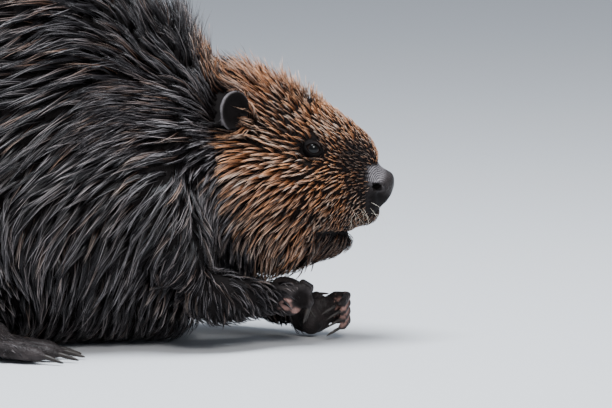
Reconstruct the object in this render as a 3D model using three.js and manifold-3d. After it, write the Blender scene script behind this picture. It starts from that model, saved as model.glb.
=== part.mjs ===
// An adult North American beaver, hunched on its haunches with its forepaws lifted in front of its chin.
// Millimetres. +X points where the nose points, +Y to the animal's left and +Z up. The floor is Z = 0.
// Each solid reaches to the tips of the coat. The parts keep a thin gap between them.
import * as THREE from "three";
import { ParametricGeometry } from "three/addons/geometries/ParametricGeometry.js";
import { mergeVertices } from "three/addons/utils/BufferGeometryUtils.js";
import Module from "manifold-3d";

const wasm = await Module();
wasm.setup();

// ---- driving dimensions -------------------------------------------------------------------------

const GAP = 0.3; // clearance between neighbouring parts
const FINE = 0.12; // facets that differ by less than this are joined
const SIDES = { right: -1, left: 1 }; // the sign of Y on each side

const EYE = { at: [5, 42.5, 152], radius: 6.6, socket: 11 };
const EAR = { at: [-54, 55.5, 181], length: 13.5, thickness: 5, height: 17, turn: 0.5, cup: 0.62 };
const NOSE = { at: [55, 0, 118], long: 12.5, wide: 18, high: 18, pitch: 0.46 };
const NOSTRIL = { at: [54.5, 15.5, 120.5], long: 4.6, deep: 4.5, high: 3 };
const FINGER = { radius: 3.7, taper: 0.78, claw: 9.5, clawRadius: 1.7 };
const TOE = { count: 5, radius: 7.2, taper: 0.72, length: 66, fan: 0.15, claw: 13, clawRadius: 2.7 };
const WEB = { thickness: 3.2 };
const FOOT = { heel: [-336, 96], ball: [-241, 112], turn: 0.12 };

// ---- materials ----------------------------------------------------------------------------------

const finish = (color, roughness, metalness = 0) =>
  new THREE.MeshStandardMaterial({ color, roughness, metalness });
const MATERIALS = {
  bodyCoat: finish(0x241d1a, 0.55),
  headCoat: finish(0x7a4a28, 0.6),
  bareSkin: finish(0x2b2524, 0.5),
  tailScale: finish(0x35302e, 0.6),
  eye: finish(0x0b0908, 0.1),
  claw: finish(0x2f2824, 0.4),
};

// ---- solids -------------------------------------------------------------------------------------

const vec = (x, y, z) => new THREE.Vector3(x, y, z);

// A three.js geometry as a solid: vertices that share a place are merged and the triangles that fold
// up at a pole are dropped.
function solid(geometry) {
  const bare = new THREE.BufferGeometry();
  bare.setAttribute("position", geometry.getAttribute("position"));
  if (geometry.index) bare.setIndex(geometry.index);
  const merged = mergeVertices(bare, 1e-3);
  const triangles = [];
  for (let i = 0; i < merged.index.count; i += 3) {
    const [a, b, c] = [0, 1, 2].map((k) => merged.index.getX(i + k));
    if (a !== b && b !== c && c !== a) triangles.push([a, b, c]);
  }
  const made = (faces) =>
    new wasm.Manifold(
      new wasm.Mesh({
        numProp: 3,
        vertProperties: merged.attributes.position.array,
        triVerts: new Uint32Array(faces.flat()),
      }),
    );
  const first = made(triangles);
  return first.volume() > 0 ? first : made(triangles.map(([a, b, c]) => [a, c, b]));
}

// A closed body lofted along a path. Each station is [x, y, z, half width, rise, drop], where rise
// and drop are its heights over and under the path. caps are the shares of the path that are rounded
// off at its two ends, pear narrows the upper half, crown fills its shoulders out, and square flattens
// the flanks and the underside. The sections stand across the path, or upright if asked.
function loft(stations, options) {
  const { rings, sides, caps = [0.12, 0.12], pear = 0, crown = 1, square = 1 } = options;
  const { upright = false, grow = 0 } = options;
  const path = new THREE.CatmullRomCurve3(stations.map(([x, y, z]) => vec(x, y, z)));
  const sizes = new THREE.CatmullRomCurve3(stations.map(([, , , w, r, d]) => vec(w, r, d)));
  const rounded = (share, cap) => Math.sqrt(Math.max(0, 1 - (1 - Math.min(1, share / cap)) ** 2));
  const bulge = (value, power) => Math.sign(value) * Math.abs(value) ** power;
  const point = (u, v, target) => {
    const t = THREE.MathUtils.lerp(v, (1 - Math.cos(Math.PI * v)) / 2, 0.7);
    const along = path.getTangent(t);
    const across = vec(0, 0, 1).cross(along).normalize();
    const over = upright ? vec(0, 0, 1) : along.clone().cross(across);
    const size = sizes.getPoint(t);
    const end = rounded(t, caps[0]) * rounded(1 - t, caps[1]);
    const [c, s] = [Math.cos(2 * Math.PI * u), Math.sin(2 * Math.PI * u)];
    const wide = bulge(c, s < 0 ? square : crown) * (1 - pear * Math.max(0, s)) * (size.x + grow);
    const high = bulge(s, s < 0 ? square : 1) * ((s > 0 ? size.y : size.z) + grow);
    target
      .copy(path.getPoint(t))
      .addScaledVector(along, grow * (2 * t - 1))
      .addScaledVector(across, wide * end)
      .addScaledVector(over, high * end);
  };
  return solid(new ParametricGeometry(point, sides, rings));
}

function ellipsoid([x, y, z], [a, b, c], { turn = 0, pitch = 0, detail = 12, grow = 0 } = {}) {
  const ball = new THREE.SphereGeometry(1, detail, Math.round(detail / 1.6));
  ball.rotateX(Math.PI / 2).scale(a + grow, b + grow, c + grow);
  ball.rotateY(pitch).rotateZ(turn).translate(x, y, z);
  return solid(ball);
}

function block(low, high) {
  const size = high.map((value, i) => value - low[i]);
  const middle = high.map((value, i) => (value + low[i]) / 2);
  return solid(new THREE.BoxGeometry(...size).translate(...middle));
}

// A tapering digit along a bend from its root over its knuckle to its tip.
function digit([root, knuckle, tip], radius, taper, { rings = 4, sides = 6, grow = 0 } = {}) {
  const bend = new THREE.QuadraticBezierCurve3(vec(...root), vec(...knuckle), vec(...tip));
  const stations = [0, 0.33, 0.67, 1].map((t) => {
    const r = radius * (1 - (1 - taper) * t);
    return [...bend.getPoint(t).toArray(), r, r, r];
  });
  return loft(stations, { rings, sides, caps: [0.1, 0.2], grow });
}

// A claw that goes on from a digit's tip, bending down to a blunt point.
function claw([, knuckle, tip], length, radius) {
  const along = vec(...tip)
    .sub(vec(...knuckle))
    .normalize();
  const stations = [-0.35, 0.1, 0.55, 1].map((t) => {
    const at = vec(...tip).addScaledVector(along, length * t);
    const r = radius * (1 - 0.62 * Math.max(0, t));
    return [at.x, at.y, Math.max(at.z - 0.12 * length * t * t, r + 0.2), r, r, r];
  });
  return loft(stations, { rings: 3, sides: 5, caps: [0.1, 0.2] });
}

// ---- head ---------------------------------------------------------------------------------------

const atSide = ([x, y, z], side) => [x, y * side, z];

const head = (grow = 0) =>
  loft(
    [
      [-96, 0, 130, 66, 72, 70],
      [-62, 0, 129, 72, 88, 82],
      [-25, 0, 125, 71, 83, 74],
      [5, 0, 122, 60, 70, 61],
      [30, 0, 121, 43, 55, 38],
      [47, 0, 119, 31, 41, 30],
      [59, 0, 115, 22, 26, 20],
    ],
    { rings: 15, sides: 20, caps: [0.16, 0.1], pear: 0.26, crown: 0.82, upright: true, grow },
  );

const lowerJaw = (grow = 0) =>
  loft(
    [
      [-40, 0, 84, 38, 22, 38],
      [-8, 0, 80, 33, 18, 28],
      [18, 0, 77.5, 25, 11, 15],
      [40, 0, 77.5, 14, 7, 8.5],
    ],
    { rings: 7, sides: 14, caps: [0.3, 0.25], grow },
  );

const nose = (grow = 0) =>
  ellipsoid(NOSE.at, [NOSE.long, NOSE.wide, NOSE.high], { pitch: NOSE.pitch, grow });

const nostril = (side) =>
  ellipsoid(atSide(NOSTRIL.at, side), [NOSTRIL.long, NOSTRIL.deep, NOSTRIL.high], { detail: 8 });

const eye = (side, grow = 0) =>
  ellipsoid(atSide(EYE.at, side), Array(3).fill(EYE.radius), { detail: 10, grow });

const eyeSocket = (side) =>
  ellipsoid([EYE.at[0], side * (EYE.at[1] + EYE.socket), EYE.at[2]], [EYE.socket, 9, 9], {
    detail: 8,
  });

const ear = (side, grow = 0) =>
  ellipsoid(atSide(EAR.at, side), [EAR.length, EAR.thickness, EAR.height], {
    turn: -side * EAR.turn,
    grow,
  });

// The hollow of an ear opens outwards and forwards, on the pinna's outer face.
function earHollow(side) {
  const [x, y, z] = EAR.at;
  const out = EAR.thickness * 0.9;
  return ellipsoid(
    [x + out * Math.sin(EAR.turn), side * (y + out * Math.cos(EAR.turn)), z],
    [EAR.length * EAR.cup, EAR.thickness * 0.9, EAR.height * EAR.cup],
    { turn: -side * EAR.turn, detail: 8 },
  );
}

// ---- neck, trunk and tail -----------------------------------------------------------------------

const neck = (grow = 0) =>
  loft(
    [
      [-54, 0, 124, 68, 84, 74],
      [-74, 0, 124, 79, 102, 88],
      [-90, 0, 124, 89, 133, 102],
      [-112, 0, 124, 97, 150, 110],
      [-146, 0, 130, 100, 160, 110],
    ],
    { rings: 8, sides: 20, caps: [0.16, 0.2], pear: 0.2, crown: 0.88, upright: true, grow },
  );

const trunk = () =>
  loft(
    [
      [-498, 0, 76, 60, 66, 70],
      [-464, 0, 92, 92, 124, 88],
      [-415, 0, 110, 114, 166, 110],
      [-355, 0, 127, 129, 188, 130],
      [-290, 0, 136, 135, 198, 139],
      [-225, 0, 138, 132, 198, 141],
      [-165, 0, 130, 118, 182, 132.5],
      [-124, 0, 114, 100, 163, 116],
      [-96, 0, 94, 76, 104, 94],
      [-62, 0, 76, 50, 48, 70],
    ],
    {
      rings: 18,
      sides: 20,
      caps: [0.14, 0.13],
      pear: 0.1,
      crown: 0.84,
      square: 0.86,
      upright: true,
    },
  );

const tailRoot = (grow = 0) =>
  loft(
    [
      [-450, 0, 52, 46, 46, 46],
      [-500, 0, 38, 43, 34, 39],
      [-545, 0, 24, 40, 21, 25.5],
      [-582, 0, 15, 43, 14, 16.5],
    ],
    { rings: 5, sides: 14, caps: [0.12, 0.3], grow },
  );

const tailPaddle = (grow = 0) =>
  loft(
    [
      [-556, 0, 13, 38, 12, 14],
      [-600, 0, 10, 57, 10, 11.5],
      [-660, 0, 8, 69, 8, 9.4],
      [-720, 0, 7, 67, 7, 8.2],
      [-768, 0, 6, 54, 6, 7],
      [-800, 0, 5.5, 38, 5, 6.4],
    ],
    { rings: 10, sides: 16, caps: [0.14, 0.2], grow },
  );

// ---- forelimbs ----------------------------------------------------------------------------------

const upperArm = (side, grow = 0) =>
  loft(
    [
      [-140, side * 66, 152, 34, 44, 44],
      [-118, side * 78, 112, 31, 37, 37],
      [-96, side * 82, 72, 29, 30, 30],
      [-84, side * 80, 47, 26, 26, 26],
    ],
    { rings: 6, sides: 12, caps: [0.2, 0.3], grow },
  );

// The forearms aren't alike: the right paw is drawn up to the chin and the left one reaches lower.
const FOREARM = {
  right: [
    [-96, -82, 46, 23, 24, 26],
    [-62, -70, 42, 21, 22, 24],
    [-36, -48, 40, 16, 16, 19],
    [-18, -38, 39, 13, 13, 15],
  ],
  left: [
    [-96, 82, 44, 23, 24, 26],
    [-56, 70, 34, 20, 20, 22],
    [-24, 47, 22, 15, 16, 18],
    [-2, 30, 16, 13, 14, 15],
  ],
};
const forearm = (name, grow = 0) =>
  loft(FOREARM[name], { rings: 6, sides: 12, caps: [0.2, 0.15], grow });

const PALM = {
  right: [
    [-28, -37, 41, 13, 13, 13],
    [-14, -34, 41, 15, 12, 14],
    [-2, -30, 42, 14, 8, 12],
  ],
  left: [
    [-12, 33, 16, 12, 14, 14.5],
    [4, 26, 18, 11, 16, 16],
    [19, 19, 20, 8, 16, 17],
  ],
};

// The right paw is a fist with its back up: the fingers curl forward, down and back.
const rightFinger = (i) => {
  const y = -41 + 7.2 * i;
  const reach = [0, 1.5, 2, 0.5][i];
  return [
    [-7, y, 46],
    [9 + reach, y, 53],
    [reach, y, 25],
  ];
};
// The left paw stands on edge with its palm turned in: the fingers curl forward, round to the right
// and back, and slope down to their tips.
const leftFinger = (i) => [
  [12, 20, 12 + 6 * i],
  [50, 11, 19.5 + 6.7 * i],
  [21.5, -4, 7 + 6.4 * i],
];
const THUMB = {
  right: [
    [-12, -22, 36],
    [-4, -14, 33],
    [3, -19, 25],
  ],
  left: [
    [2, 20, 26],
    [2, 6, 34],
    [12, -1, 36],
  ],
};
const FINGERS = {
  right: [...[0, 1, 2, 3].map(rightFinger), THUMB.right],
  left: [...[0, 1, 2, 3].map(leftFinger), THUMB.left],
};

// The pad at the heel of each palm.
const PAD = {
  right: { at: [-13, -38, 31], size: [10, 8, 7.5] },
  left: { at: [4, 16, 13], size: [9, 8, 11] },
};

function hand(name, grow = 0) {
  const palm = loft(PALM[name], { rings: 5, sides: 10, caps: [0.25, 0.35], grow });
  const pad = ellipsoid(PAD[name].at, PAD[name].size, { detail: 9, grow });
  return FINGERS[name].reduce(
    (whole, bend) => whole.add(digit(bend, FINGER.radius, FINGER.taper, { grow })),
    palm.add(pad),
  );
}

// ---- hind limbs ---------------------------------------------------------------------------------

const thigh = (side, grow = 0) =>
  loft(
    [
      [-450, side * 76, 116, 46, 66, 70],
      [-392, side * 90, 124, 58, 90, 100],
      [-320, side * 97, 112, 57, 90, 98],
      [-256, side * 102, 84, 46, 66, 74],
      [-218, side * 104, 64, 34, 44, 52],
    ],
    { rings: 8, sides: 12, caps: [0.26, 0.25], grow },
  );

// A toe of a hind foot: they fan out from the ball of the foot and lie on the floor.
function toe(side, i) {
  const spread = FOOT.turn + TOE.fan * (i - (TOE.count - 1) / 2);
  const reach = TOE.length * [0.74, 0.94, 1, 0.97, 0.85][i];
  const [x, y] = FOOT.ball;
  const from = y + 9 * (i - (TOE.count - 1) / 2);
  const at = (share, z) => [
    x + reach * share * Math.cos(spread),
    side * (from + reach * share * Math.sin(spread)),
    z,
  ];
  return [at(-0.1, 12), at(0.62, 9.5), at(1, 4.6)];
}
const TOES = [0, 1, 2, 3, 4];

function hindFoot(side, grow = 0) {
  const [[heelX, heelY], [x, y]] = [FOOT.heel, FOOT.ball];
  const sole = loft(
    [
      [heelX, side * heelY, 26, 18, 20, 27],
      [heelX + 42, side * (heelY + 8), 27, 21, 24, 28],
      [x - 12, side * (y - 2), 20, 26, 20, 21],
      [x + 22, side * (y + 4), 9, 29, 9, 10],
    ],
    { rings: 5, sides: 10, caps: [0.25, 0.25], grow },
  );
  const web = loft(
    [
      [x - 2, side * (y + 1), 6, 26, 3, 4],
      [x + 20, side * (y + 4), 5, 32, WEB.thickness / 2, WEB.thickness / 2],
      [x + 36, side * (y + 7), 3.6, 35, WEB.thickness / 2, WEB.thickness / 2],
      [x + 44, side * (y + 8), 3.2, 34, WEB.thickness / 2, WEB.thickness / 2],
    ],
    { rings: 3, sides: 8, caps: [0.2, 0.2], grow },
  );
  return TOES.reduce(
    (whole, i) => whole.add(digit(toe(side, i), TOE.radius, TOE.taper, { rings: 3, grow })),
    sole.add(web),
  );
}

// ---- parting and placing ------------------------------------------------------------------------

const FAR = 2000;
const underFloor = block([-FAR, -FAR, -FAR], [FAR, FAR, 0]);
const without = (whole, ...others) =>
  others.reduce((rest, other) => rest.subtract(other), whole).subtract(underFloor);
const bothSides = (make) => Object.entries(SIDES).map(([name, side]) => make(name, side));

const beaver = new THREE.Group();

function place(name, made, material) {
  const { numProp, vertProperties, triVerts } = made.simplify(FINE).getMesh();
  const points = new Float32Array((vertProperties.length / numProp) * 3);
  for (let i = 0; i < points.length / 3; i++)
    points.set(vertProperties.subarray(i * numProp, i * numProp + 3), i * 3);
  const geometry = new THREE.BufferGeometry();
  geometry.setAttribute("position", new THREE.BufferAttribute(points, 3));
  geometry.setIndex(new THREE.BufferAttribute(triVerts, 1));
  geometry.computeVertexNormals();
  const mesh = new THREE.Mesh(geometry, material);
  mesh.name = name;
  beaver.add(mesh);
}

const eyes = bothSides((_, side) => eye(side, GAP));
const sockets = bothSides((_, side) => eyeSocket(side));
const nostrils = bothSides((_, side) => nostril(side));
const upperArms = bothSides((_, side) => upperArm(side, GAP));
const forearms = bothSides((name) => forearm(name, GAP));
const thighs = bothSides((_, side) => thigh(side, GAP));
const feet = bothSides((_, side) => hindFoot(side, GAP));

place("nose", without(nose(), ...nostrils), MATERIALS.bareSkin);
place("head", without(head(), nose(GAP), ...eyes, ...sockets), MATERIALS.headCoat);
place("lower_jaw", without(lowerJaw(), head(GAP)), MATERIALS.headCoat);
place("neck", without(neck(), head(GAP), lowerJaw(GAP)), MATERIALS.headCoat);
place(
  "trunk",
  without(
    trunk(),
    neck(GAP),
    head(GAP),
    lowerJaw(GAP),
    tailRoot(GAP),
    ...upperArms,
    ...forearms,
    ...thighs,
    ...feet,
  ),
  MATERIALS.bodyCoat,
);
place("tail_root", without(tailRoot(), tailPaddle(GAP)), MATERIALS.bodyCoat);
place("tail_paddle", without(tailPaddle()), MATERIALS.tailScale);

bothSides((name, side) => {
  place(`eye_${name}`, eye(side), MATERIALS.eye);
  place(
    `ear_${name}`,
    without(ear(side), earHollow(side), head(GAP), neck(GAP)),
    MATERIALS.bareSkin,
  );
  place(
    `upper_arm_${name}`,
    without(upperArm(side), neck(GAP), head(GAP), lowerJaw(GAP)),
    MATERIALS.bodyCoat,
  );
  place(
    `forearm_${name}`,
    without(forearm(name), upperArm(side, GAP), neck(GAP), head(GAP), lowerJaw(GAP), hand(name, GAP)),
    MATERIALS.bodyCoat,
  );
  place(`hand_${name}`, without(hand(name), lowerJaw(GAP)), MATERIALS.bareSkin);
  FINGERS[name].forEach((bend, i) => {
    const made = claw(bend, FINGER.claw, FINGER.clawRadius);
    place(`claw_hand_${name}_${i + 1}`, without(made, hand(name, GAP)), MATERIALS.claw);
  });
  place(`thigh_${name}`, without(thigh(side), hindFoot(side, GAP)), MATERIALS.bodyCoat);
  place(`hind_foot_${name}`, without(hindFoot(side)), MATERIALS.bareSkin);
  TOES.forEach((i) => {
    const made = claw(toe(side, i), TOE.claw, TOE.clawRadius);
    place(`claw_foot_${name}_${i + 1}`, without(made, hindFoot(side, GAP)), MATERIALS.claw);
  });
});

// The origin is on the floor, in the middle of the whole animal's box.
const box = new THREE.Box3().setFromObject(beaver);
beaver.position.set(-(box.min.x + box.max.x) / 2, -(box.min.y + box.max.y) / 2, 0);

export default beaver;
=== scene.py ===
# %% [markdown]
# A beaver, life size, in its wet coat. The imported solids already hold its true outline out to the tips
# of the hair. This lesson dresses them: one skin that lies inside the solids by the depth of the coat,
# then eyes, claws, tail scales, whiskers and tens of thousands of locks of hair, each a thin solid mesh.

# %% Load the fixed frame
import math
from contextlib import contextmanager

import bpy
import numpy as np
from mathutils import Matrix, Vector
from mathutils.bvhtree import BVHTree
from mathutils.kdtree import KDTree


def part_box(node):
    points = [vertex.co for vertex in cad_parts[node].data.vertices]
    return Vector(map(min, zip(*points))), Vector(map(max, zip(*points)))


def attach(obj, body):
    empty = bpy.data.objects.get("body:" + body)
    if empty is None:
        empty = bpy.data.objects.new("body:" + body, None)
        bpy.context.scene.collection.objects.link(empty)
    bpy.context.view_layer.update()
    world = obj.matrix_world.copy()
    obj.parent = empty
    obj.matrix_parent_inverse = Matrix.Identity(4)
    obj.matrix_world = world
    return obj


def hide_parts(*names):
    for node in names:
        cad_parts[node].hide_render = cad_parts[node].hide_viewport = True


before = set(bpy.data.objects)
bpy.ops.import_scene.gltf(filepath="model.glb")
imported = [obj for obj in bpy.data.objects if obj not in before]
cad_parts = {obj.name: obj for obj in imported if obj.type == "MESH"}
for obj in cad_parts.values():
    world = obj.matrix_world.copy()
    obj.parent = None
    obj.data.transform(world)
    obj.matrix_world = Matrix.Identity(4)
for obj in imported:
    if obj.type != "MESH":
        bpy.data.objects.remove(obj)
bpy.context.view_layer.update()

MM = 0.001
rng = np.random.default_rng(7)
print("nodes in the frame:", len(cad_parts))

# %% [markdown]
# Everything is placed from a few landmarks of the solids. HOME is the point of the floor just behind
# the eyes, on the animal's middle line. Places on the body are then plain millimetres from HOME:
# x towards the nose, y towards the animal's left and z up.

# %% Landmarks
def middle(node):
    low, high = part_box(node)
    return (low + high) / 2


EYE_AHEAD = 5  # the eyes stand this far in front of HOME
EYE_HEIGHT = middle("eye_right").z / MM
HOME = Vector((middle("eye_right").x - EYE_AHEAD * MM, 0, 0))
SIDES = {"right": -1, "left": 1}


def at(x, y, z):
    return HOME + Vector((x, y, z)) * MM


def local(points):
    """Points in metres as millimetres from HOME."""
    return (np.asarray(points) - np.array(HOME)) / MM


nose_tip = local(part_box("nose")[1])[0]
print("the nose's tip is", round(float(nose_tip), 1), "mm in front of HOME")

# %% [markdown]
# The camera stands level with the animal's head, a few metres off on its right, with a long lens.
# That gives the flat, close look of a wildlife portrait: the back and the tail run out of the picture.

# %% Camera
VIEW_DISTANCE = 5.0
VIEW_ELEVATION = math.radians(6)
FRAME_WIDTH = 0.4712  # the width that the picture takes in at the animal
AIM_HEIGHT = 105.3  # the middle of the picture is this high, in millimetres
SENSOR = 36.0


def new_object(name, data):
    piece = bpy.data.objects.new(name, data)
    bpy.context.scene.collection.objects.link(piece)
    return piece


aim = at(0, 0, AIM_HEIGHT)
camera = new_object("camera", bpy.data.cameras.new("camera"))
camera.data.sensor_width = SENSOR
camera.data.lens = SENSOR * VIEW_DISTANCE / FRAME_WIDTH
camera.data.clip_end = 100
away = Vector((0, -math.cos(VIEW_ELEVATION), math.sin(VIEW_ELEVATION)))
camera.location = aim + away * VIEW_DISTANCE
camera.rotation_euler = (math.pi / 2 - VIEW_ELEVATION, 0, 0)
bpy.context.scene.camera = camera
print("lens:", round(camera.data.lens), "mm")

# %% [markdown]
# Some helpers that every step uses. Operators act on whatever is selected, so each step starts by
# selecting nothing but its own piece.

# %% Helpers for objects
def select_nothing():
    bpy.ops.object.select_all(action="DESELECT")


def only(piece):
    select_nothing()
    bpy.context.view_layer.objects.active = piece
    piece.select_set(True)
    return piece


def apply_modifier(piece, kind, **settings):
    only(piece)
    modifier = piece.modifiers.new(kind.title(), kind)
    for name, value in settings.items():
        setattr(modifier, name, value)
    bpy.ops.object.modifier_apply(modifier=modifier.name)


def latest(name):
    """The object that the last operator made, with its name."""
    piece = bpy.context.view_layer.objects.active
    piece.name = piece.data.name = name
    return piece


def join(pieces, name):
    """Joins pieces into the last of them."""
    only(pieces[-1])
    for piece in pieces:
        piece.select_set(True)
    if len(pieces) > 1:
        bpy.ops.object.join()
    return latest(name)


@contextmanager
def edit_mode(piece):
    """Operators inside this act on the piece's selected faces."""
    only(piece)
    bpy.ops.object.mode_set(mode="EDIT")
    yield
    bpy.ops.object.mode_set(mode="OBJECT")


print("helpers for objects are ready")

# %% Helpers for meshes
def read(items, what, width=1, kind=float):
    """One property of all the items of a mesh, as an array with some columns."""
    values = np.zeros(len(items) * width, kind)
    items.foreach_get(what, values)
    return values.reshape(-1, width) if width > 1 else values


def points_of(mesh):
    return read(mesh.vertices, "co", 3)


def normals_of(mesh):
    return read(mesh.vertex_normals, "vector", 3)


def edges_of(mesh):
    return read(mesh.edges, "vertices", 2, np.int32)


def set_points(mesh, points):
    mesh.vertices.foreach_set("co", np.asarray(points, np.float32).ravel())
    mesh.update()


def surface_of(piece):
    """The piece's surface, to ask for the nearest place on it or for where a ray meets it."""
    return BVHTree.FromObject(piece, bpy.context.evaluated_depsgraph_get())


def store(mesh, name, values):
    layer = mesh.attributes.new(name, "FLOAT", "POINT")
    layer.data.foreach_set("value", np.asarray(values, np.float32))


print("helpers for meshes are ready")

# %% [markdown]
# The shapes and the markings below are built from soft steps and hills over places on the body, so
# that nothing has a hard edge.

# %% Helpers for numbers
def unit(vectors):
    return vectors / np.maximum(np.linalg.norm(vectors, axis=-1, keepdims=True), 1e-9)


def even_out(values, edges, rounds, share=0.5):
    """Each round moves every value a share of the way to the mean of its neighbours."""
    a, b = edges.T
    count = np.bincount(edges.ravel(), minlength=len(values))
    columns = values.reshape(len(values), -1).T.copy()
    for _ in range(rounds):
        for column in columns:
            total = np.bincount(a, column[b], len(column)) + np.bincount(b, column[a], len(column))
            column += share * (total / np.maximum(count, 1) - column)
    return columns.T.reshape(values.shape)


def step(low, high, values):
    """A smooth step from 0 at low to 1 at high."""
    t = np.clip((values - low) / (high - low), 0, 1)
    return t * t * (3 - 2 * t)


def bell(middle, width, values):
    """A smooth hill, 1 at its middle."""
    return np.exp(-(((values - middle) / width) ** 2))


def oval(p, middle, size):
    """How far out points lie on an oval on the animal's side, 1 at its edge."""
    return np.hypot((p[..., 0] - middle[0]) / size[0], (p[..., 2] - middle[1]) / size[1])


print("half of the way up a soft step:", step(0, 1, 0.5))

# %% [markdown]
# The frame's own solids stay as they are. Whatever needs their shape works on a merged copy, because
# their faces are loose triangles. An attribute remembers which solid each face comes from.

# %% Copies of the solids
def copy_of(nodes, name):
    """One object with merged copies of some of the frame's nodes."""
    twins = []
    for index, node in enumerate(nodes):
        twin = new_object("copy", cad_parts[node].data.copy())
        layer = twin.data.attributes.new("node", "INT", "FACE")
        layer.data.foreach_set("value", np.full(len(twin.data.polygons), index, np.int32))
        twin.data.materials.clear()
        twins.append(twin)
    piece = join(twins, name)
    with edit_mode(piece):
        bpy.ops.mesh.select_all(action="SELECT")
        bpy.ops.mesh.remove_doubles(threshold=0.01 * MM)
        bpy.ops.mesh.customdata_custom_splitnormals_clear()
    return piece


print("solids that can be copied:", len(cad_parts))

# %% [markdown]
# The skin is one mesh for the whole animal, so that no seam shows between the head, the trunk and the
# legs. A boolean union could join the solids, but it leaves slivers and a hard crease at every seam.
# Here copies of them are swollen by a hair's breadth until they touch, and a voxel remesh welds them
# into one even grid.

# %% Weld the solids into one skin
VOXEL = 1.35 * MM
WELD = 0.5 * MM

separate = ("eye_", "claw_")
flesh = sorted(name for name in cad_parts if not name.startswith(separate))
solids = copy_of(flesh, "solids")
node_of_face = read(solids.data.attributes["node"].data, "value", kind=np.int32)
solids_surface = surface_of(solids)


def parts_under(points):
    """The frame's node that lies nearest to each point, as an index into flesh."""
    faces = np.array([solids_surface.find_nearest(Vector(p))[2] for p in points])
    return node_of_face[faces]


def among(parts, *names):
    """Which parts have a name that starts with one of the names."""
    return np.isin(parts, [i for i, name in enumerate(flesh) if name.startswith(names)])


skin = copy_of(flesh + [f"eye_{side}" for side in SIDES], "skin")
apply_modifier(skin, "DISPLACE", strength=WELD, mid_level=0)
apply_modifier(skin, "REMESH", mode="VOXEL", voxel_size=VOXEL * 1.25)
outline = surface_of(skin)
print("welded skin:", len(skin.data.vertices), "points")

# %% [markdown]
# The skin of the real animal lies deep under the coat on the back and close under it on the face, and
# the nose, the paws, the ears and the tail are bare. Each point sinks along its normal by such a depth.
# The depths are evened out over the mesh first, so that no step shows where two parts meet, and a
# second remesh mends the faces that the sinking has squeezed.

# %% Sink the skin by the coat's depth
DEPTHS = {"trunk": 12, "neck": 11, "head": 8, "lower_jaw": 3.5, "upper_arm": 8, "forearm": 3.2,
          "thigh": 10, "tail_root": 6, "hand_": -0.5, "hind_foot_": -0.3, "ear_": -0.6}
OTHER_DEPTH = 0.3


def depth_of(node):
    return next((depth for start, depth in DEPTHS.items() if node.startswith(start)), OTHER_DEPTH)


def coat_depth(points, nodes):
    """How deep the skin lies under the solids' surface, in millimetres."""
    x, y, z = local(points).T
    depth = np.array([depth_of(name) for name in flesh])[nodes]
    behind_nose = nose_tip - x
    head = among(nodes, "head")
    depth = np.where(head, np.clip(1.5 + 0.075 * (behind_nose - 14), 1.2, DEPTHS["head"]), depth)
    hump = step(-60, -90, x) * step(-230, -150, x) * step(205, 250, z)
    depth += 5 * hump * (depth > 6)
    eye = np.hypot(np.hypot(x - EYE_AHEAD, z - EYE_HEIGHT), np.abs(y) - 45)
    depth *= 1 - 0.45 * head * bell(0, 15, eye)
    depth = np.where(head & (x > 45), np.minimum(depth, 0.8), depth)
    belly = step(40, 5, z) * (depth > 6)
    return depth * (1 - 0.45 * belly)


points = points_of(skin.data)
edges = edges_of(skin.data)
depth = even_out(coat_depth(points, parts_under(points)), edges, 14)
normals = unit(even_out(normals_of(skin.data), edges, 4))
sunk = points - normals * (depth + WELD / MM)[:, None] * MM
set_points(skin.data, sunk)
apply_modifier(skin, "REMESH", mode="VOXEL", voxel_size=VOXEL)
print("skin:", len(skin.data.vertices), "points, deepest under", round(float(depth.max()), 1), "mm of hair")

# %% [markdown]
# The remesh gives every part the same fine grid. The broad back doesn't need it, so the skin is thinned
# there, and left fine on the face, the paws, the feet and the ears, where its own shape shows.

# %% Thin the skin where hair hides it
SKIN_SHARE = 0.13
MELT_ROUNDS = 50  # evens out the folds between the solids where hair hides them
FINE_PARTS = ("hand_", "hind_foot_", "ear_", "nose", "lower_jaw")

points = points_of(skin.data)
part = parts_under(points)
p = local(points)
face = among(part, "head") & (p[:, 0] > -20)
near_ear = np.min([np.linalg.norm(p - local(middle(f"ear_{side}")), axis=1) for side in SIDES], 0)
fine = among(part, *FINE_PARTS) | face | (near_ear < 24)
edges = edges_of(skin.data)
amount = np.where(among(part, "hand_", "hind_foot_", "ear_"), 0.35, 1.0)[:, None]
points += (even_out(points, edges, 4) - points) * amount
loose = even_out(np.where(fine, 0.0, 1.0), edges, 6)[:, None]
melted = even_out(points, edges, MELT_ROUNDS)
set_points(skin.data, points + (melted - points) * np.clip(loose * 2 - 1, 0, 1))
thin_here = skin.vertex_groups.new(name="thin_here")
for weight, group in ((1.0, ~fine), (0.12, fine)):
    thin_here.add(np.flatnonzero(group).tolist(), weight, "REPLACE")
apply_modifier(skin, "DECIMATE", ratio=SKIN_SHARE, vertex_group="thin_here")
skin.vertex_groups.clear()
print("thinned skin:", len(skin.data.vertices), "points")

# %% [markdown]
# The face gets its details by moving the skin's points: lids that hug the eyeballs, nostrils with a
# rim, and the line of the mouth. The faces around them are divided first, so that there are enough
# points to shape.

# %% Divide the skin around the eyes, the nostrils and the mouth
EYE_RADIUS = (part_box("eye_right")[1].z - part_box("eye_right")[0].z) / 2 / MM
NOSTRIL = np.array([54.5, 16, 121])  # the left one
MOUTH_CORNER = 7  # how far in front of HOME the mouth's corner lies


def eye_centre(side):
    return local(middle(f"eye_{side}"))


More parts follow.
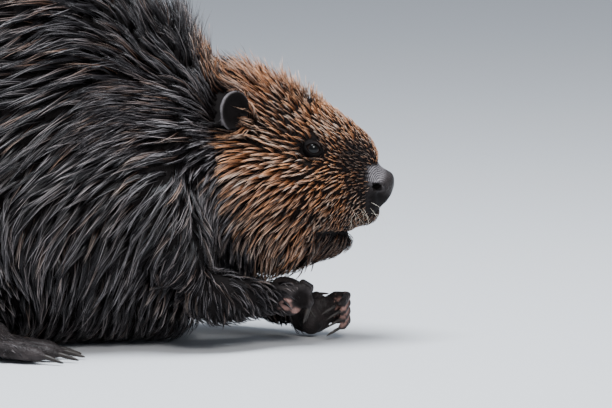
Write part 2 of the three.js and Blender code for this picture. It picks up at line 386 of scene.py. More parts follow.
def refine(piece, where, rounds):
    """Divides the faces whose middles answer to where()."""
    for _ in range(rounds):
        mesh = piece.data
        chosen = where(local(read(mesh.polygons, "center", 3)))
        for elements in (mesh.vertices, mesh.edges):
            elements.foreach_set("select", np.zeros(len(elements), bool))
        mesh.polygons.foreach_set("select", chosen)
        bpy.context.tool_settings.mesh_select_mode = (False, False, True)
        with edit_mode(piece):
            bpy.ops.mesh.subdivide()
            bpy.ops.mesh.select_all(action="SELECT")
            bpy.ops.mesh.quads_convert_to_tris()


def on_left(p):
    """Points of either side as points of the left side."""
    return p * [1, 0, 1] + np.abs(p) * [0, 1, 0]


def mouth_height(x):
    """The line of the mouth on the side of the face."""
    return 91 - 0.21 * (x - MOUTH_CORNER)


def from_eye(p):
    """How far points lie from the middle of the nearer eye."""
    return np.min([np.linalg.norm(p - eye_centre(side), axis=1) for side in SIDES], 0)


def near_nostril(p):
    return np.linalg.norm(on_left(p) - NOSTRIL, axis=1) < 8


def near_mouth(p):
    return (np.abs(p[:, 2] - mouth_height(p[:, 0])) < 4.5) & (p[:, 0] > MOUTH_CORNER - 3)


refine(skin, lambda p: from_eye(p) < 15, 1)
refine(skin, lambda p: from_eye(p) < 10, 2)
refine(skin, near_nostril, 2)
refine(skin, near_mouth, 1)
print("divided skin:", len(skin.data.vertices), "points")

# %% [markdown]
# A beaver's eye is small, with thick dark lids that lie tight on the eyeball. Its nostrils are commas
# that open sideways, its mouth is a soft groove and its ears are short bowls. All this could be sculpted
# with brushes. Formulas that push the points in or out are used here, because both sides come out alike
# and each shape can be tuned by a number.

# %% Shape of the lids
# the lid's thickness, half sizes of its opening, how round the corners are, and how far out it reaches
LID = {"thick": 0.9, "long": 5.7, "high": 4.0, "corner": 1.7, "spread": 2.8}


def gaze(side):
    """The way an eye looks."""
    return np.array([0.12, 0.98 * SIDES[side], 0.12])


def eye_frame(p, side):
    """Places round an eye: along its slit, across it, outwards, and how open it is, 1 at the lids."""
    out = gaze(side)
    out /= np.linalg.norm(out)
    fore = np.array([0.95, 0, -0.30])
    fore -= out * (fore @ out)
    fore /= np.linalg.norm(fore)
    up = np.cross(out, fore) * SIDES[side]
    q = p - eye_centre(side)
    u, w, h = q @ fore, q @ up, q @ out
    power = LID["corner"]
    opening = (np.abs(u / LID["long"]) ** power + np.abs(w / LID["high"]) ** power) ** (1 / power)
    return u, w, h, out, opening


def shape_lids(p, side):
    """Draws the skin over the eyeball, with an almond opening, thick rims and a fold above."""
    u, w, h, out, opening = eye_frame(p, side)
    radius = np.hypot(u, w)
    ball = np.sqrt(np.maximum(EYE_RADIUS**2 - radius**2, 0))
    lid = np.sqrt(np.maximum((EYE_RADIUS + LID["thick"]) ** 2 - radius**2, 0))
    lid += 0.5 * bell(1.18, 0.16, opening)
    lid -= 0.9 * bell(1.75, 0.22, opening) * step(-1, 2, w)
    blend = step(1.5, LID["spread"], opening)
    rest = np.maximum(lid, h) * (1 - blend) + h * blend
    target = np.where(opening < 1.4, lid, rest)
    target += (ball - 1.6 - target) * step(1.04, 0.80, opening)
    here = (opening < LID["spread"]) & (h > -1)
    return p + out * ((target - h) * here)[:, None]


print("the eye's opening:", 2 * LID["long"], "by", 2 * LID["high"], "mm")

# %% Shape of the nostrils and the mouth
def shape_nostril(p, side):
    out = np.array([0.5, 0.86 * SIDES[side], 0.1])
    q = p - NOSTRIL * [1, SIDES[side], 1]
    u = q[:, 0] * 0.75 + q[:, 2] * 0.3
    w = q[:, 2] * 0.95 - q[:, 0] * 0.3
    w -= 0.25 * np.minimum(u + 1, 0)
    r = np.hypot((u + 0.7) / np.where(u < -0.7, 5.0, 3.6), w / 2.7)
    dig = -4.5 * np.clip(1 - r**2, 0, 1) + bell(1.3, 0.35, r) * step(-5, 1, u)
    near = np.linalg.norm(q, axis=1) < 10
    return p + out * (dig * near)[:, None]


def shape_mouth(p, normals):
    x, y, z = p.T
    drop = z - mouth_height(x)
    reach = step(MOUTH_CORNER - 3, MOUTH_CORNER + 4, x)
    groove = -2.2 * bell(0, 1.2, drop) + 0.9 * bell(3.2, 1.8, drop)
    cleft = -1.3 * bell(0, 0.8, y) * step(52, 58, x) * step(120, 112, z)
    slope = 1.9 * bell(63, 5.5, x) * step(124, 133, z)
    return p + normals * (groove * reach + cleft)[:, None] - slope[:, None] * [0, 0, 1]


print("the mouth's corner lies", MOUTH_CORNER, "mm in front of HOME")

# %% Shape of the ears and the fingers
EAR = {"turn": 0.5, "long": 13.5, "high": 17}  # its turn from facing aside, and its half sizes
# the left hand's fingers: how high the lowest one lies at three places, and from one to the next
GRIP = {"y": (-5, 9.25, 20), "z": (6.3, 16.4, 10), "apart": 6.1}


def ear_frame(p, side):
    """Places on an ear: how far out from its middle, 1 at the rim, and how far off its plane."""
    q = p - local(middle(f"ear_{side}"))
    c, s = math.cos(EAR["turn"]), math.sin(EAR["turn"]) * SIDES[side]
    along = q[:, 0] * c - q[:, 1] * s
    off = (q[:, 0] * s + q[:, 1] * c) * SIDES[side]
    return np.hypot(along / EAR["long"], q[:, 2] / EAR["high"]), off


def ear_reach(p):
    """How far out points lie from the middle of the nearer ear, 1 at the rim."""
    return np.min([ear_frame(p, side)[0] for side in SIDES], 0)


def shape_ear(p, side):
    """Hollows the outer face of an ear into a bowl with a thin rim."""
    reach, off = ear_frame(p, side)
    bowl = -3 + 6 * step(0.35, 0.95, reach)
    dig = np.where((reach < 0.93) & (off > -2), np.minimum(bowl - off, 0), 0)
    c, s = math.cos(EAR["turn"]), math.sin(EAR["turn"])
    return p + np.array([s, c * SIDES[side], 0]) * dig[:, None]


def finger_wave(p):
    """1 along the middle of each finger of the left hand and -1 between two fingers."""
    base = np.interp(p[:, 1], GRIP["y"], GRIP["z"])
    number = (p[:, 2] - base) / GRIP["apart"]
    between = (number > -0.3) & (number < 3.3) & (p[:, 0] > 14)
    return np.where(between, np.cos(2 * math.pi * number), 1)


print("an ear is", 2 * EAR["high"], "mm high")

# %% Shape the skin
p = local(points_of(skin.data))
p = shape_mouth(p, normals_of(skin.data))
for side in SIDES:
    p = shape_ear(shape_nostril(shape_lids(p, side), side), side)
left_hand = among(parts_under(points_of(skin.data)), "hand_left")
groove = 1.0 * step(-0.2, -1, finger_wave(p)) * left_hand
p -= normals_of(skin.data) * groove[:, None]
p[:, 2] = np.maximum(p[:, 2], 0.1)
set_points(skin.data, p * MM + np.array(HOME))
skin.data.polygons.foreach_set("use_smooth", np.ones(len(skin.data.polygons), bool))
print("lids, nostrils and mouth are shaped")

# %% [markdown]
# The markings could be painted on a texture. They are worked out as soft masks over the body instead,
# and written both on the skin and on each lock of hair that grows there, so that the two always agree.
# warm is the orange-brown of the head, dusk the nearly black patches on the muzzle and chin and round
# the eyes and ears, with painted shade on the throat under the chin, and bare is the hairless leather of
# the nose, the paws and the feet. deep is the tone of the head, with painted light on the brow and the
# crown and painted shade on the lower cheek and the throat, and pale also paints light on the bridge of
# the nose.

# %% Ovals of the markings
# ovals on the animal's side: strength, middle (x, z) and half sizes
CHIN = (24, 77), (26, 17)
PALE_LIP_AND_TEMPLE = (1, (40, 108), (8, 11)), (0.5, (-28, 170), (20, 16)), (0.5, (-15, 140), (26, 10))
# painted shade darkens the lower cheek (-24, 103) and the throat (-27, 72), and painted light from above
# brightens the brow (18, 170) and the crown (-28, 193)
DARK_NAPE_AND_SHADED_CHEEK = ((1.1, (-70, 207), (24, 24)), (1, (-24, 168), (24, 12)), (1, (-24, 103), (34, 20)),
                       (1, (-27, 72), (20, 12)))
LIT_BROW_AND_CROWN = (1, (18, 170), (24, 14)), (1, (-28, 193), (28, 12)), (1, (-20, 142), (28, 10))
DUSK_MUZZLE_AND_EAR = (1, (39, 142), (13, 13)), (0.95, (46, 116), (15, 23)), (0.85, (-58, 178), (14, 22))
# the throat's oval (-16, 64) is painted shade under the chin
DUSK_AND_THROAT_SHADE = (
    (1, *CHIN), (1, (58, 98), (11, 17)), (0.9, (52, 92), (18, 9)), (0.75, (15, 92), (22, 13)),
    (1, (EYE_AHEAD + 2, EYE_HEIGHT - 1), (13, 9)), (0.6, (-16, 64), (34, 15)),
    (0.55, (-124, 232), (32, 36)))
PADS = ((1, (-15.5, 36), (5, 2)), (1, (-15.5, 31), (5, 2.8)), (1, (-8, 28), (3.6, 2.4)),
        (1, (-3, 24), (3, 2.2)))


def blob(p, middle, size):
    """1 inside an oval on the animal's side, 0 outside it, with a soft edge."""
    return step(1.25, 0.7, oval(p, middle, size))


def patches(p, *ovals):
    """The strongest of some ovals, each a strength, a middle (x, z) and half sizes."""
    return np.max([strength * blob(p, middle, size) for strength, middle, size in ovals], 0)


print("dusky ovals:", len(DUSK_MUZZLE_AND_EAR + DUSK_AND_THROAT_SHADE))

# %% Markings of skin and coat
def warmth(p):
    """1 on the orange-brown head, 0 on the dark body."""
    edge = np.interp(p[:, 2], [40, 108, 162, 188, 204, 228, 262], [-26, -48, -57, -59, -80, -84, -86])
    return step(-9, 9, p[:, 0] - edge) * step(51, 57, p[:, 2])


def rustiness(p):
    """1 on the redder crown and nape."""
    return step(160, 195, p[:, 2]) * step(10, -45, p[:, 0])


def paleness(p):
    """1 on the tan lower cheek, the throat and the upper lip, and 0.5 on the bridge of the nose, which is
    painted light from above.
    """
    cheek = 0.8 * step(135, 85, p[:, 2]) * step(60, 20, p[:, 0]) * (1 - blob(p, *CHIN))
    # painted light from above on the bridge of the nose
    painted_light_on_bridge = 0.5 * step(5, 28, p[:, 0]) * step(146, 156, p[:, 2])
    return np.max([cheek, painted_light_on_bridge, patches(p, *PALE_LIP_AND_TEMPLE)], 0)


def tone_and_painted_light(p):
    """Above 0 where the head is darker than the rest of it, below 0 where it is lighter: a darker nape and
    temple, a lighter upper cheek, painted light on the brow and the crown, and painted shade on the lower
    cheek and the throat.
    """
    return patches(p, *DARK_NAPE_AND_SHADED_CHEEK) - patches(p, *LIT_BROW_AND_CROWN)


def duskiness(p):
    """1 on the nearly black patches, and 0.6 on the throat, which is painted shade under the chin."""
    aside = step(8, 18, np.abs(p[:, 1]))
    muzzle_and_ear = aside * patches(p, *DUSK_MUZZLE_AND_EAR)
    arm = 0.95 * blob(p, (-50, 27), (42, 30)) * step(-105, -85, p[:, 0])
    haunch = 0.45 * step(-190, -215, p[:, 0]) * step(75, 50, p[:, 2])
    return np.max([muzzle_and_ear, arm, haunch, patches(p, *DUSK_AND_THROAT_SHADE)], 0)


MARKINGS = {"warm": warmth, "dusk": duskiness, "rust": rustiness, "pale": paleness, "deep": tone_and_painted_light}


print("markings:", *MARKINGS)

# %% [markdown]
# The bare skin has marks of its own: the leather of the nose, the pads of the paws, painted shade in the
# hollows of the nostrils, the ears and the eyes, under the nose, in the palm and behind the ears, painted
# highlights on the moist rims of the lids, the ears and the nostrils, and a painted sheen on the top of the
# nose. They are written on the skin alone.

# %% Masks of the bare skin
def on_ear(p, part):
    """1 on the skin of the ears."""
    frames = [ear_frame(p, side) for side in SIDES]
    near = np.max([step(1.03, 0.97, reach) * (np.abs(off) < 6.5) for reach, off in frames], 0)
    return near * among(part, "ear_")


def nose_leather(p, part):
    """1 on the bare leather of the nose, which reaches back round the nostrils."""
    x, y, z = p.T
    pad = step(44, 50, x + 1.5 * np.sin(z * 1.9)) * step(104, 109, z + 0.35 * np.abs(y))
    pad *= step(139, 135, z - 3 * step(11, 0, np.abs(y)))
    return np.maximum(pad, among(part, "nose")) * among(part, "nose", "head")


def eye_masks(p):
    """Painted shade round each eye, over its dark lids, and a painted highlight on the moist rim of its
    lower lid.
    """
    hollow, rim = [], []
    for side in SIDES:
        _, w, h, _, opening = eye_frame(p, side)
        near = h > -3
        hollow.append(step(2.5, 1.5, opening) * near)
        # painted highlight along the moist rim of the lower lid
        rim.append(step(0.85, 0.95, opening) * step(1.3, 1.12, opening) * step(0, -1.5, w) * near)
    return np.max(hollow, 0), np.max(rim, 0)


def mark(mesh, p, part):
    """Writes the markings on the skin's points."""
    x, y, z = p.T
    nose, ear, reach = nose_leather(p, part), on_ear(p, part), ear_reach(p)
    leather = among(part, "hand_", "hind_foot_", "tail_paddle").astype(float)
    right, left = among(part, "hand_right"), among(part, "hand_left") & (y < 14)
    pads = right * (y < -38) * patches(p, *PADS)
    # painted shade in the cupped palm
    palm = right * blob(p, (-4, 37), (7, 7)) * (1 - pads)
    between_fingers = left * step(0.1, -0.6, finger_wave(p))

    # painted shade inside the nostrils
    u, v, w = (on_left(p) - NOSTRIL).T
    inside = np.hypot((u + 0.6) / 1.25, (w + 0.45 * (u + 0.6)) / 0.8)
    nostril = step(4.4, 3.0, inside) * (np.abs(v) < 9)
    # painted highlight on the front of the nostril's rim
    nostril_rim_highlight = step(5.6, 5.0, inside) * nose * step(53, 57, x) * (1 - nostril)
    # painted sheen: the top of the nose is grey where the light from above falls on it
    painted_sheen_on_nose = nose * blob(p, (52, 134), (12, 12)) * step(120, 127, z) * step(64, 55, x)
    # painted shade under the nose
    below_nose = nose * step(121, 113, z + 0.25 * (x - 54))

    eye_hollow, lid_rim_highlight = eye_masks(p)
    # painted shade in the bowl of the ear
    ear_bowl = ear * step(0.92, 0.83, reach)
    # painted highlight on the back and the top of the ear's rim
    ear_rim_highlight = ear * step(0.85, 0.93, reach) * np.maximum(step(-48, -58, x), 0.9 * step(176, 186, z))
    # painted shade behind the ear
    behind_ear = blob(p, (-64, 178), (14, 26)) * (np.abs(y) > 30) * (1 - ear)

    # painted shade in all these hollows, over the dark leather of the ears and the lids
    painted_shade_places = [nostril, 0.9 * behind_ear, 0.9 * palm, 0.95 * ear_bowl, eye_hollow * (1 - lid_rim_highlight),
            0.95 * below_nose]
    # pit holds painted shade, rim painted highlights and nose the painted sheen on the top of the nose
    masks = {"bare": np.max([nose, leather, ear], 0), "pink": np.maximum(pads, 0.85 * between_fingers),
             "pit": np.max(painted_shade_places, 0), "rim": np.max([ear_rim_highlight, lid_rim_highlight, 0.45 * nostril_rim_highlight], 0),
             "nose": painted_sheen_on_nose}
    for name, values in {**{name: mask(p) for name, mask in MARKINGS.items()}, **masks}.items():
        store(mesh, name, values)


p = local(points_of(skin.data))
part = parts_under(points_of(skin.data))
mark(skin.data, p, part)
bare_share = among(part, "hand_", "hind_foot_", "tail_paddle").mean()
print("share of the skin on the paws, feet and tail:", round(float(bare_share), 2))

# %% [markdown]
# An eyeball is a smooth ball with a clear bulge, the cornea, in front. It sits where the frame's eye
# is, and the lids of the skin already wrap it. A plain sphere would do from afar, but it is the bulge
# that catches the light, so the points in front are pushed out a little.

# %% Eyes
def make_eye(side):
    select_nothing()
    bpy.ops.mesh.primitive_uv_sphere_add(segments=48, ring_count=24, radius=EYE_RADIUS * MM)
    eye = latest(f"eyeball_{side}")
    p = points_of(eye.data) / MM
    facing = p @ gaze(side) / EYE_RADIUS
    p *= (1 + 0.035 * step(0.72, 0.95, facing))[:, None]
    set_points(eye.data, (p + eye_centre(side)) * MM + np.array(HOME))
    store(eye.data, "facing", facing)
    bpy.ops.object.shade_smooth()
    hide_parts(f"eye_{side}")
    return eye


eyes = [make_eye(side) for side in SIDES]
print("eyeballs:", [len(eye.data.vertices) for eye in eyes])

# %% [markdown]
# A beaver's claws are blunt, curved horn. New cones could be bent into shape, but the claws of the frame
# already lie exactly on the fingers and toes. They are only coarse, so a merged copy gets two levels of
# subdivision, which rounds it and keeps its curve and its point.

# %% Claws
CLAW_ROOT = 1.45  # the claws are drawn out backwards, so that they grow out of the fingers


def make_claws(limb):
    nodes = sorted(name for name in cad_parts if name.startswith(f"claw_{limb}_"))
    body = np.array(middle(("hand_" if "hand" in limb else "hind_foot_") + limb.split("_")[1]))
    claws = copy_of(nodes, f"claws_{limb}")
    numbers = read(claws.data.attributes["node"].data, "value", kind=np.int32)
    points = points_of(claws.data)
    for number in range(len(nodes)):
        mine = sorted({v for face in np.flatnonzero(numbers == number)
                       for v in claws.data.polygons[face].vertices})
        p = points[mine]
        spread = p - p.mean(0)
        axis = np.linalg.svd(spread, full_matrices=False)[2][0]
        axis *= np.sign(axis @ (p.mean(0) - body))
        behind = (spread @ axis).max() - spread @ axis
        points[mine] = p - np.outer(behind * (CLAW_ROOT - 1), axis)
    set_points(claws.data, points)
    apply_modifier(claws, "SUBSURF", levels=2, render_levels=2)
    bpy.ops.object.shade_smooth()
    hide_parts(*nodes)
    return claws


claws = [make_claws(f"{limb}_{side}") for limb in ("hand", "foot") for side in SIDES]
print("claws:", {piece.name: len(piece.data.polygons) for piece in claws})

# %% [markdown]
# A beaver's tail is covered in leathery scales, laid in rows like tiles. A bump map could draw them, but
# modelled edges catch the light from every side. One scale is a small six-sided tile, low in front and
# raised behind, and all the others are copies of it.

# %% One scale
SCALE = {"long": 7.2, "wide": 6.6, "pitch": 4.6, "row": 6.0, "high": 0.75}

select_nothing()
bpy.ops.mesh.primitive_cylinder_add(vertices=6, radius=0.5, depth=1, end_fill_type="TRIFAN")
tile = latest("scale_pattern")
tile_points = points_of(tile.data)
top = tile_points[:, 2] > 0
tile_points[:, :2] *= np.where(top, 0.8, 1.0)[:, None]
tile_points[:, 2] = np.where(top, 0.5 - 0.45 * tile_points[:, 0], -0.6)
tile_faces = [list(face.vertices) for face in tile.data.polygons]
bpy.data.objects.remove(tile)
print("one scale has", len(tile_faces), "faces")


# %% [markdown]
# Scales, whiskers and hairs are all many copies of one small shape. Joining thousands of objects is
# slow, so the points of all the copies are written into one mesh at once. A shape that follows a path
# has a ring of points at each stop of the path, and its last ring closes in one point, the tip.

# %% Joined copies
def joined(name, blocks, faces):
    """One mesh of many copies of a shape: blocks is copies x points x 3, faces serve each copy."""
    count, size = blocks.shape[:2]
    loops = np.concatenate(faces)
    starts = np.cumsum([0] + [len(face) for face in faces[:-1]])
    copies = np.arange(count)[:, None]
    mesh = bpy.data.meshes.new(name)
    mesh.vertices.add(count * size)
    mesh.vertices.foreach_set("co", blocks.astype(np.float32).ravel())
    mesh.loops.add(count * len(loops))
    mesh.loops.foreach_set("vertex_index", (loops + copies * size).ravel().astype(np.int32))
    mesh.polygons.add(count * len(faces))
    mesh.polygons.foreach_set("loop_start", (starts + copies * len(loops)).ravel().astype(np.int32))
    mesh.polygons.foreach_set("use_smooth", np.ones(count * len(faces), bool))
    mesh.update(calc_edges=True)
    return new_object(name, mesh)


def sweep(paths, over, half_widths, corners):
    """Pointed closed solids along paths (count x rings x 3), whose last point is the tip. The
    corners of the cross-section count half widths across and over the path."""
    along = np.gradient(paths, axis=1)
    across = unit(np.cross(over, along))
    over = unit(np.cross(along, across))
    half = half_widths[..., None]
    rings = [paths[:, :-1] + half * (a * across + b * over)[:, :-1] for a, b in corners]
    rings = np.stack(rings, axis=2).reshape(len(paths), -1, 3)
    blocks = np.concatenate([rings, paths[:, -1:]], axis=1)
    n, rows = len(corners), paths.shape[1] - 1
    faces = [list(range(n))[::-1]]
    faces += [[n * i + k, n * i + (k + 1) % n, n * (i + 1) + (k + 1) % n, n * (i + 1) + k]
              for i in range(rows - 1) for k in range(n)]
    faces += [[n * (rows - 1) + k, n * (rows - 1) + (k + 1) % n, n * rows] for k in range(n)]
    return blocks, faces


skin_surface = surface_of(skin)
print("the skin's surface is ready for scales and hair")

# %% [markdown]
# A ray is dropped on the tail from above, and another is sent up from below. Where it meets the skin, it
# gives the place and the tilt of one scale. Every second row is moved by half a scale, and across the
# tail the scales turn a little to and fro, so that the pattern doesn't look ruled.

# %% Lay the scales on the tail
low, high = [local(corner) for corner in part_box("tail_paddle")]
rows = np.arange(low[0] - 2, high[0] + 4, SCALE["pitch"])
columns = np.arange(low[1] - 2, high[1] + 4, SCALE["row"])
blocks = []
for face_up in (1, -1):
    for i, x in enumerate(rows):
        for y in columns + (SCALE["row"] / 2) * (i % 2):
            start = at(x, y, 10 + 40 * face_up)
            spot, normal, *_ = skin_surface.ray_cast(start, Vector((0, 0, -face_up)))
            if spot is None or local(spot)[2] < 0.6 or normal.z * face_up < 0.05:
                continue
            back = Vector((-1, 0.16 * math.sin(y / 9), 0)) - normal * normal.dot(Vector((-1, 0, 0)))
            back.normalize()
            across = normal.cross(back)
            size = rng.uniform(0.9, 1.08)
            axes = np.array([-back * SCALE["long"], across * SCALE["wide"], normal * SCALE["high"] * 2])
            blocks.append(tile_points * size @ (axes * MM) + np.array(spot))
blocks = np.array(blocks)
blocks[..., 2] = np.maximum(blocks[..., 2], 0)  # none reaches under the floor
scales = joined("tail_scales", blocks, tile_faces)
only(scales)
bpy.ops.object.shade_smooth_by_angle(angle=math.radians(35))
print("tail scales:", len(blocks))

# %% [markdown]
# Whiskers spring from the upper lip: thin pale bristles that bend down. A bevelled curve could make
# them, but a tapering three-sided rod has fewer faces and is made by the same code as the hair.

# %% Whiskers
WHISKERS = {"rows": 3, "each": 4, "radius": 0.13, "points": 8}
ROUND = [(math.cos(k), math.sin(k)) for k in (0, 2.09, 4.19)]


def bend(starts, middles, tips, count):
    """Curves that leave starts, lean towards middles and end at tips, as count points each."""
    t = np.linspace(0, 1, count)[None, :, None]
    a, b, c = [v[:, None, :] for v in (starts, middles, tips)]
    return (1 - t) ** 2 * a + 2 * t * (1 - t) * b + t**2 * c


starts, tips = [], []
for side in SIDES.values():
    for row in range(WHISKERS["rows"]):
        for i in range(WHISKERS["each"]):
            ahead, up = 49 - 5 * i + rng.normal(0, 1), 99 + 4 * row - 0.8 * i + rng.normal(0, 0.8)
            spot = skin_surface.ray_cast(at(ahead, side * 60, up), Vector((0, -side, 0)))[0]
            if spot is None:
                continue
            reach = [14 - 4.5 * i + rng.normal(0, 4), side * rng.uniform(7, 12), rng.normal(-17, 4)]
            starts.append(spot)
            tips.append(spot + Vector(reach) * MM)
starts, tips = np.array(starts), np.array(tips)
paths = bend(starts, (starts + tips) / 2 + np.array([3, 0, 4]) * MM, tips, WHISKERS["points"])
taper = np.linspace(1, 0.2, WHISKERS["points"] - 1) * WHISKERS["radius"] * MM
widths = np.repeat(taper[None], len(paths), 0)
whiskers = joined("whiskers", *sweep(paths, np.array([0.1, 0.2, 1.0]), widths, ROUND))
print("whiskers:", len(paths))

# %% [markdown]
# The coat follows a comb: a list of strokes, each a place on the body, the way the hair lies there and
# how long it grows. Between the strokes the lie blends smoothly. Both sides share the strokes, so y
# is the distance from the middle line, and outwards in a direction. Hair can also be combed by hand with
# a brush, but a list of strokes can be read, and changed in one place.

# %% Comb strokes: place x, y, z; direction x, outwards, z; length, all in millimetres
COMB = np.array([
    (45, 0, 140, -0.75, 0, 0.66, 5), (15, 0, 185, -0.88, 0, 0.47, 10),
    (-30, 0, 208, -0.8, 0, 0.6, 19), (-78, 0, 222, 0.1, 0, 1, 36),
    (-70, 45, 205, -0.85, 0, 0.5, 26), (-82, 78, 190, -0.99, 0, 0.1, 34),
    (-112, 90, 190, -0.99, 0, 0.05, 38),
    (45, 28, 120, -0.9, 0.3, 0.05, 6), (38, 28, 98, -0.7, 0.2, -0.65, 5),
    (5, 45, 165, -0.85, 0, 0.4, 12), (25, 38, 150, -0.85, 0.2, 0.35, 8),
    (5, 50, 130, -0.9, 0, -0.35, 12), (22, 45, 115, -0.85, 0.2, -0.45, 9),
    (0, 58, 105, -0.72, 0, -0.68, 17), (-35, 70, 110, -0.76, 0, -0.65, 26),
    (-15, 62, 135, -0.9, 0, -0.4, 17), (-25, 60, 165, -0.93, 0, 0.25, 17),
    (-75, 65, 165, -0.96, 0, -0.25, 30), (-60, 70, 140, -0.82, 0, -0.57, 28),
    (-80, 85, 132, -0.84, 0, -0.54, 36), (-96, 88, 150, -0.93, 0, -0.36, 38),
    (-20, 45, 62, -0.3, 0, -0.95, 26), (20, 20, 68, -0.55, 0, -0.83, 13),
    (-20, 0, 55, -0.8, 0, -0.5, 20), (-90, 85, 120, -0.72, 0, -0.68, 38),
    (-90, 75, 60, -0.42, 0, -0.9, 34), (-100, 60, 220, -0.92, 0, 0.3, 38),
    (-130, 90, 210, -0.97, 0, -0.1, 42), (-180, 110, 200, -0.92, 0, -0.38, 44),
    (-200, 130, 150, -0.76, 0, -0.64, 44), (-180, 125, 80, -0.5, 0, -0.85, 40),
    (-150, 100, 25, -0.25, 0, -0.97, 26), (-160, 40, 305, -0.96, 0, -0.05, 44),
    (-200, 0, 335, -1, 0, 0, 44), (-250, 60, 310, -0.95, 0, -0.25, 44),
    (-280, 125, 230, -0.88, 0, -0.47, 44), (-350, 130, 180, -0.75, 0, -0.65, 42),
    (-450, 60, 200, -0.6, 0, -0.8, 38), (-490, 0, 100, -0.6, 0, -0.6, 32),
    (-300, 150, 80, -0.5, 0, -0.85, 32), (-230, 130, 40, 0.7, 0, -0.5, 7),
    (-60, 50, 50, 0.1, 0, -1, 24), (-50, 0, 40, -0.3, 0, -0.9, 22),
    (-105, 100, 100, -0.62, 0, -0.78, 34), (-60, 70, 45, 0.5, -0.4, -0.75, 11),
    (-25, 40, 45, 0.8, -0.4, -0.45, 6), (-45, 60, 20, 0.6, 0, -0.8, 7), (-70, 70, 20, 0.1, 0, -1, 15),
    (-90, 85, 25, 0, 0, -1, 16), (-540, 0, 45, -1, 0, -0.1, 22),
], float)
COMB_REACH = 16


def comb(p):
    """The lie of the hair at points in millimetres, and its length."""
    square = ((on_left(p)[:, None] - COMB[None, :, :3]) ** 2).sum(2)
    weight = 1 / (square + COMB_REACH**2) ** 2
    weight /= weight.sum(1, keepdims=True)
    lie = weight @ COMB[:, 3:6]
    lie[:, 1] *= np.sign(p[:, 1])
    return lie, weight @ COMB[:, 6]


print("comb strokes:", len(COMB))

# %% [markdown]
# Wet fur gathers into locks. Plain random roots would leave clumps and bald gaps, so many places are
# tried, and each root that is kept drives out its near neighbours. The distance is wide on the body and
# small on the face.

# %% Kinds of growth
# distance between locks, hairs in each, hair's width, rings, width of the web between the hairs and how
# far above the others the lightest hairs run
GROWTH = {
    "body": {"apart": 7.7, "hairs": 9, "width": 0.50, "rings": 3, "web": 0.42, "ride": 1.5},
    "neck": {"apart": 6.0, "hairs": 9, "width": 0.56, "rings": 3, "web": 0.38, "ride": 1.3},
    "head": {"apart": 4.0, "hairs": 8, "width": 0.48, "rings": 3, "web": 0.28, "ride": 0.9},
    "face": {"apart": 2.5, "hairs": 6, "width": 0.38, "rings": 3, "web": 0, "ride": 0.4},
    "limb": {"apart": 5.3, "hairs": 6, "width": 0.45, "rings": 3, "web": 0.4, "ride": 0.4},
    "paw": {"apart": 3.4, "hairs": 3, "width": 0.5, "rings": 2, "web": 0, "ride": 0},
}


def growth_at(p, part, normals):
    """The kind of growth at points of the skin, or an empty word where it is bare."""
    x, y, z = p.T
    kind = np.full(len(p), "body", dtype="<U4")
    kind[among(part, "neck")] = "neck"
    head = among(part, "head", "lower_jaw", "ear_")
    kind[head] = "head"
    kind[head & ((x > 12) | (among(part, "lower_jaw") & (x > -5)))] = "face"
    reach = ear_reach(p) + (np.abs(y) < 40)
    kind[reach < 1.5] = "face"
    kind[among(part, "upper_arm", "forearm") & (z < 85)] = "limb"
    kind[among(part, "tail_root")] = "limb"
    kind[among(part, "nose", "tail_paddle") | (nose_leather(p, part) > 0.7)] = ""
    kind[(on_ear(p, part) > 0) & ((reach < 0.86) | (np.abs(y) < 40))] = ""
    hands, feet = among(part, "hand_"), among(part, "hind_foot_")
    kind[hands | feet] = ""
    kind[hands & (x < -12) & (normals[:, 2] > -0.2)] = "paw"
    kind[feet & (normals[:, 2] > 0.35) & (x < -215)] = "paw"
    kind[from_eye(p) < EYE_RADIUS + 0.6] = ""
    kind[head & (np.abs(z - mouth_height(x)) < 1.6) & (x > MOUTH_CORNER)] = ""
    kind[z < 1.5] = ""
    return kind


print("kinds of growth:", *GROWTH)

# %% Roots of the locks
def sample_skin(per_area):
    """Random points on the skin, per square millimetre."""
    mesh = skin.data
    mesh.calc_loop_triangles()
    corners = read(mesh.loop_triangles, "vertices", 3, np.int32)
    a, b, c = points_of(mesh)[corners].transpose(1, 0, 2)
    cross = np.cross(b - a, c - a)
    area = np.linalg.norm(cross, axis=1) / 2
    total = int(area.sum() / MM**2 * per_area)
    pick = rng.choice(len(area), total, p=area / area.sum())
    u, v = rng.random((2, total))
    u, v = np.where(u + v > 1, 1 - u, u)[:, None], np.where(u + v > 1, 1 - v, v)[:, None]
    return a[pick] + u * (b - a)[pick] + v * (c - a)[pick], unit(cross)[pick]


def spread_out(points, apart):
    """Indices of points that keep apart from each other, chosen in their own random order."""
    tree = KDTree(len(points))
    for i, point in enumerate(points):
        tree.insert(point, i)
    tree.balance()
    free = np.ones(len(points), bool)
    kept = []
    for i, point in enumerate(points):
        if free[i]:
            kept.append(i)
            free[[found[1] for found in tree.find_range(point, apart)]] = False
    return np.array(kept, int)


SAMPLES = 0.5  # points tried on each square millimetre
SAMPLES_PER_LOCK = 5
candidates, candidate_normals = sample_skin(SAMPLES)
kinds = growth_at(local(candidates), parts_under(candidates), candidate_normals)
roots, root_kinds = [], []
for kind, growth in GROWTH.items():
    mine = np.flatnonzero(kinds == kind)
    density = SAMPLES_PER_LOCK / growth["apart"] ** 2
    mine = mine[rng.random(len(mine)) < density / SAMPLES]
    kept = mine[spread_out(candidates[mine], 0.8 * growth["apart"] * MM)]
    roots.append(candidates[kept])
    root_kinds += [kind] * len(kept)
    print(kind, "locks:", len(kept))
roots, root_kinds = np.concatenate(roots), np.array(root_kinds)

# %% [markdown]
# Each lock follows a line over the skin. From its root the line runs the way of the comb, with a little
# swirl of its own, and rises slowly off the skin until its tip reaches the outline of the solids.

# %% Lines of the locks
STEPS = 7
EAR_HAIR = 4  # the length of the hair on the rims of the ears
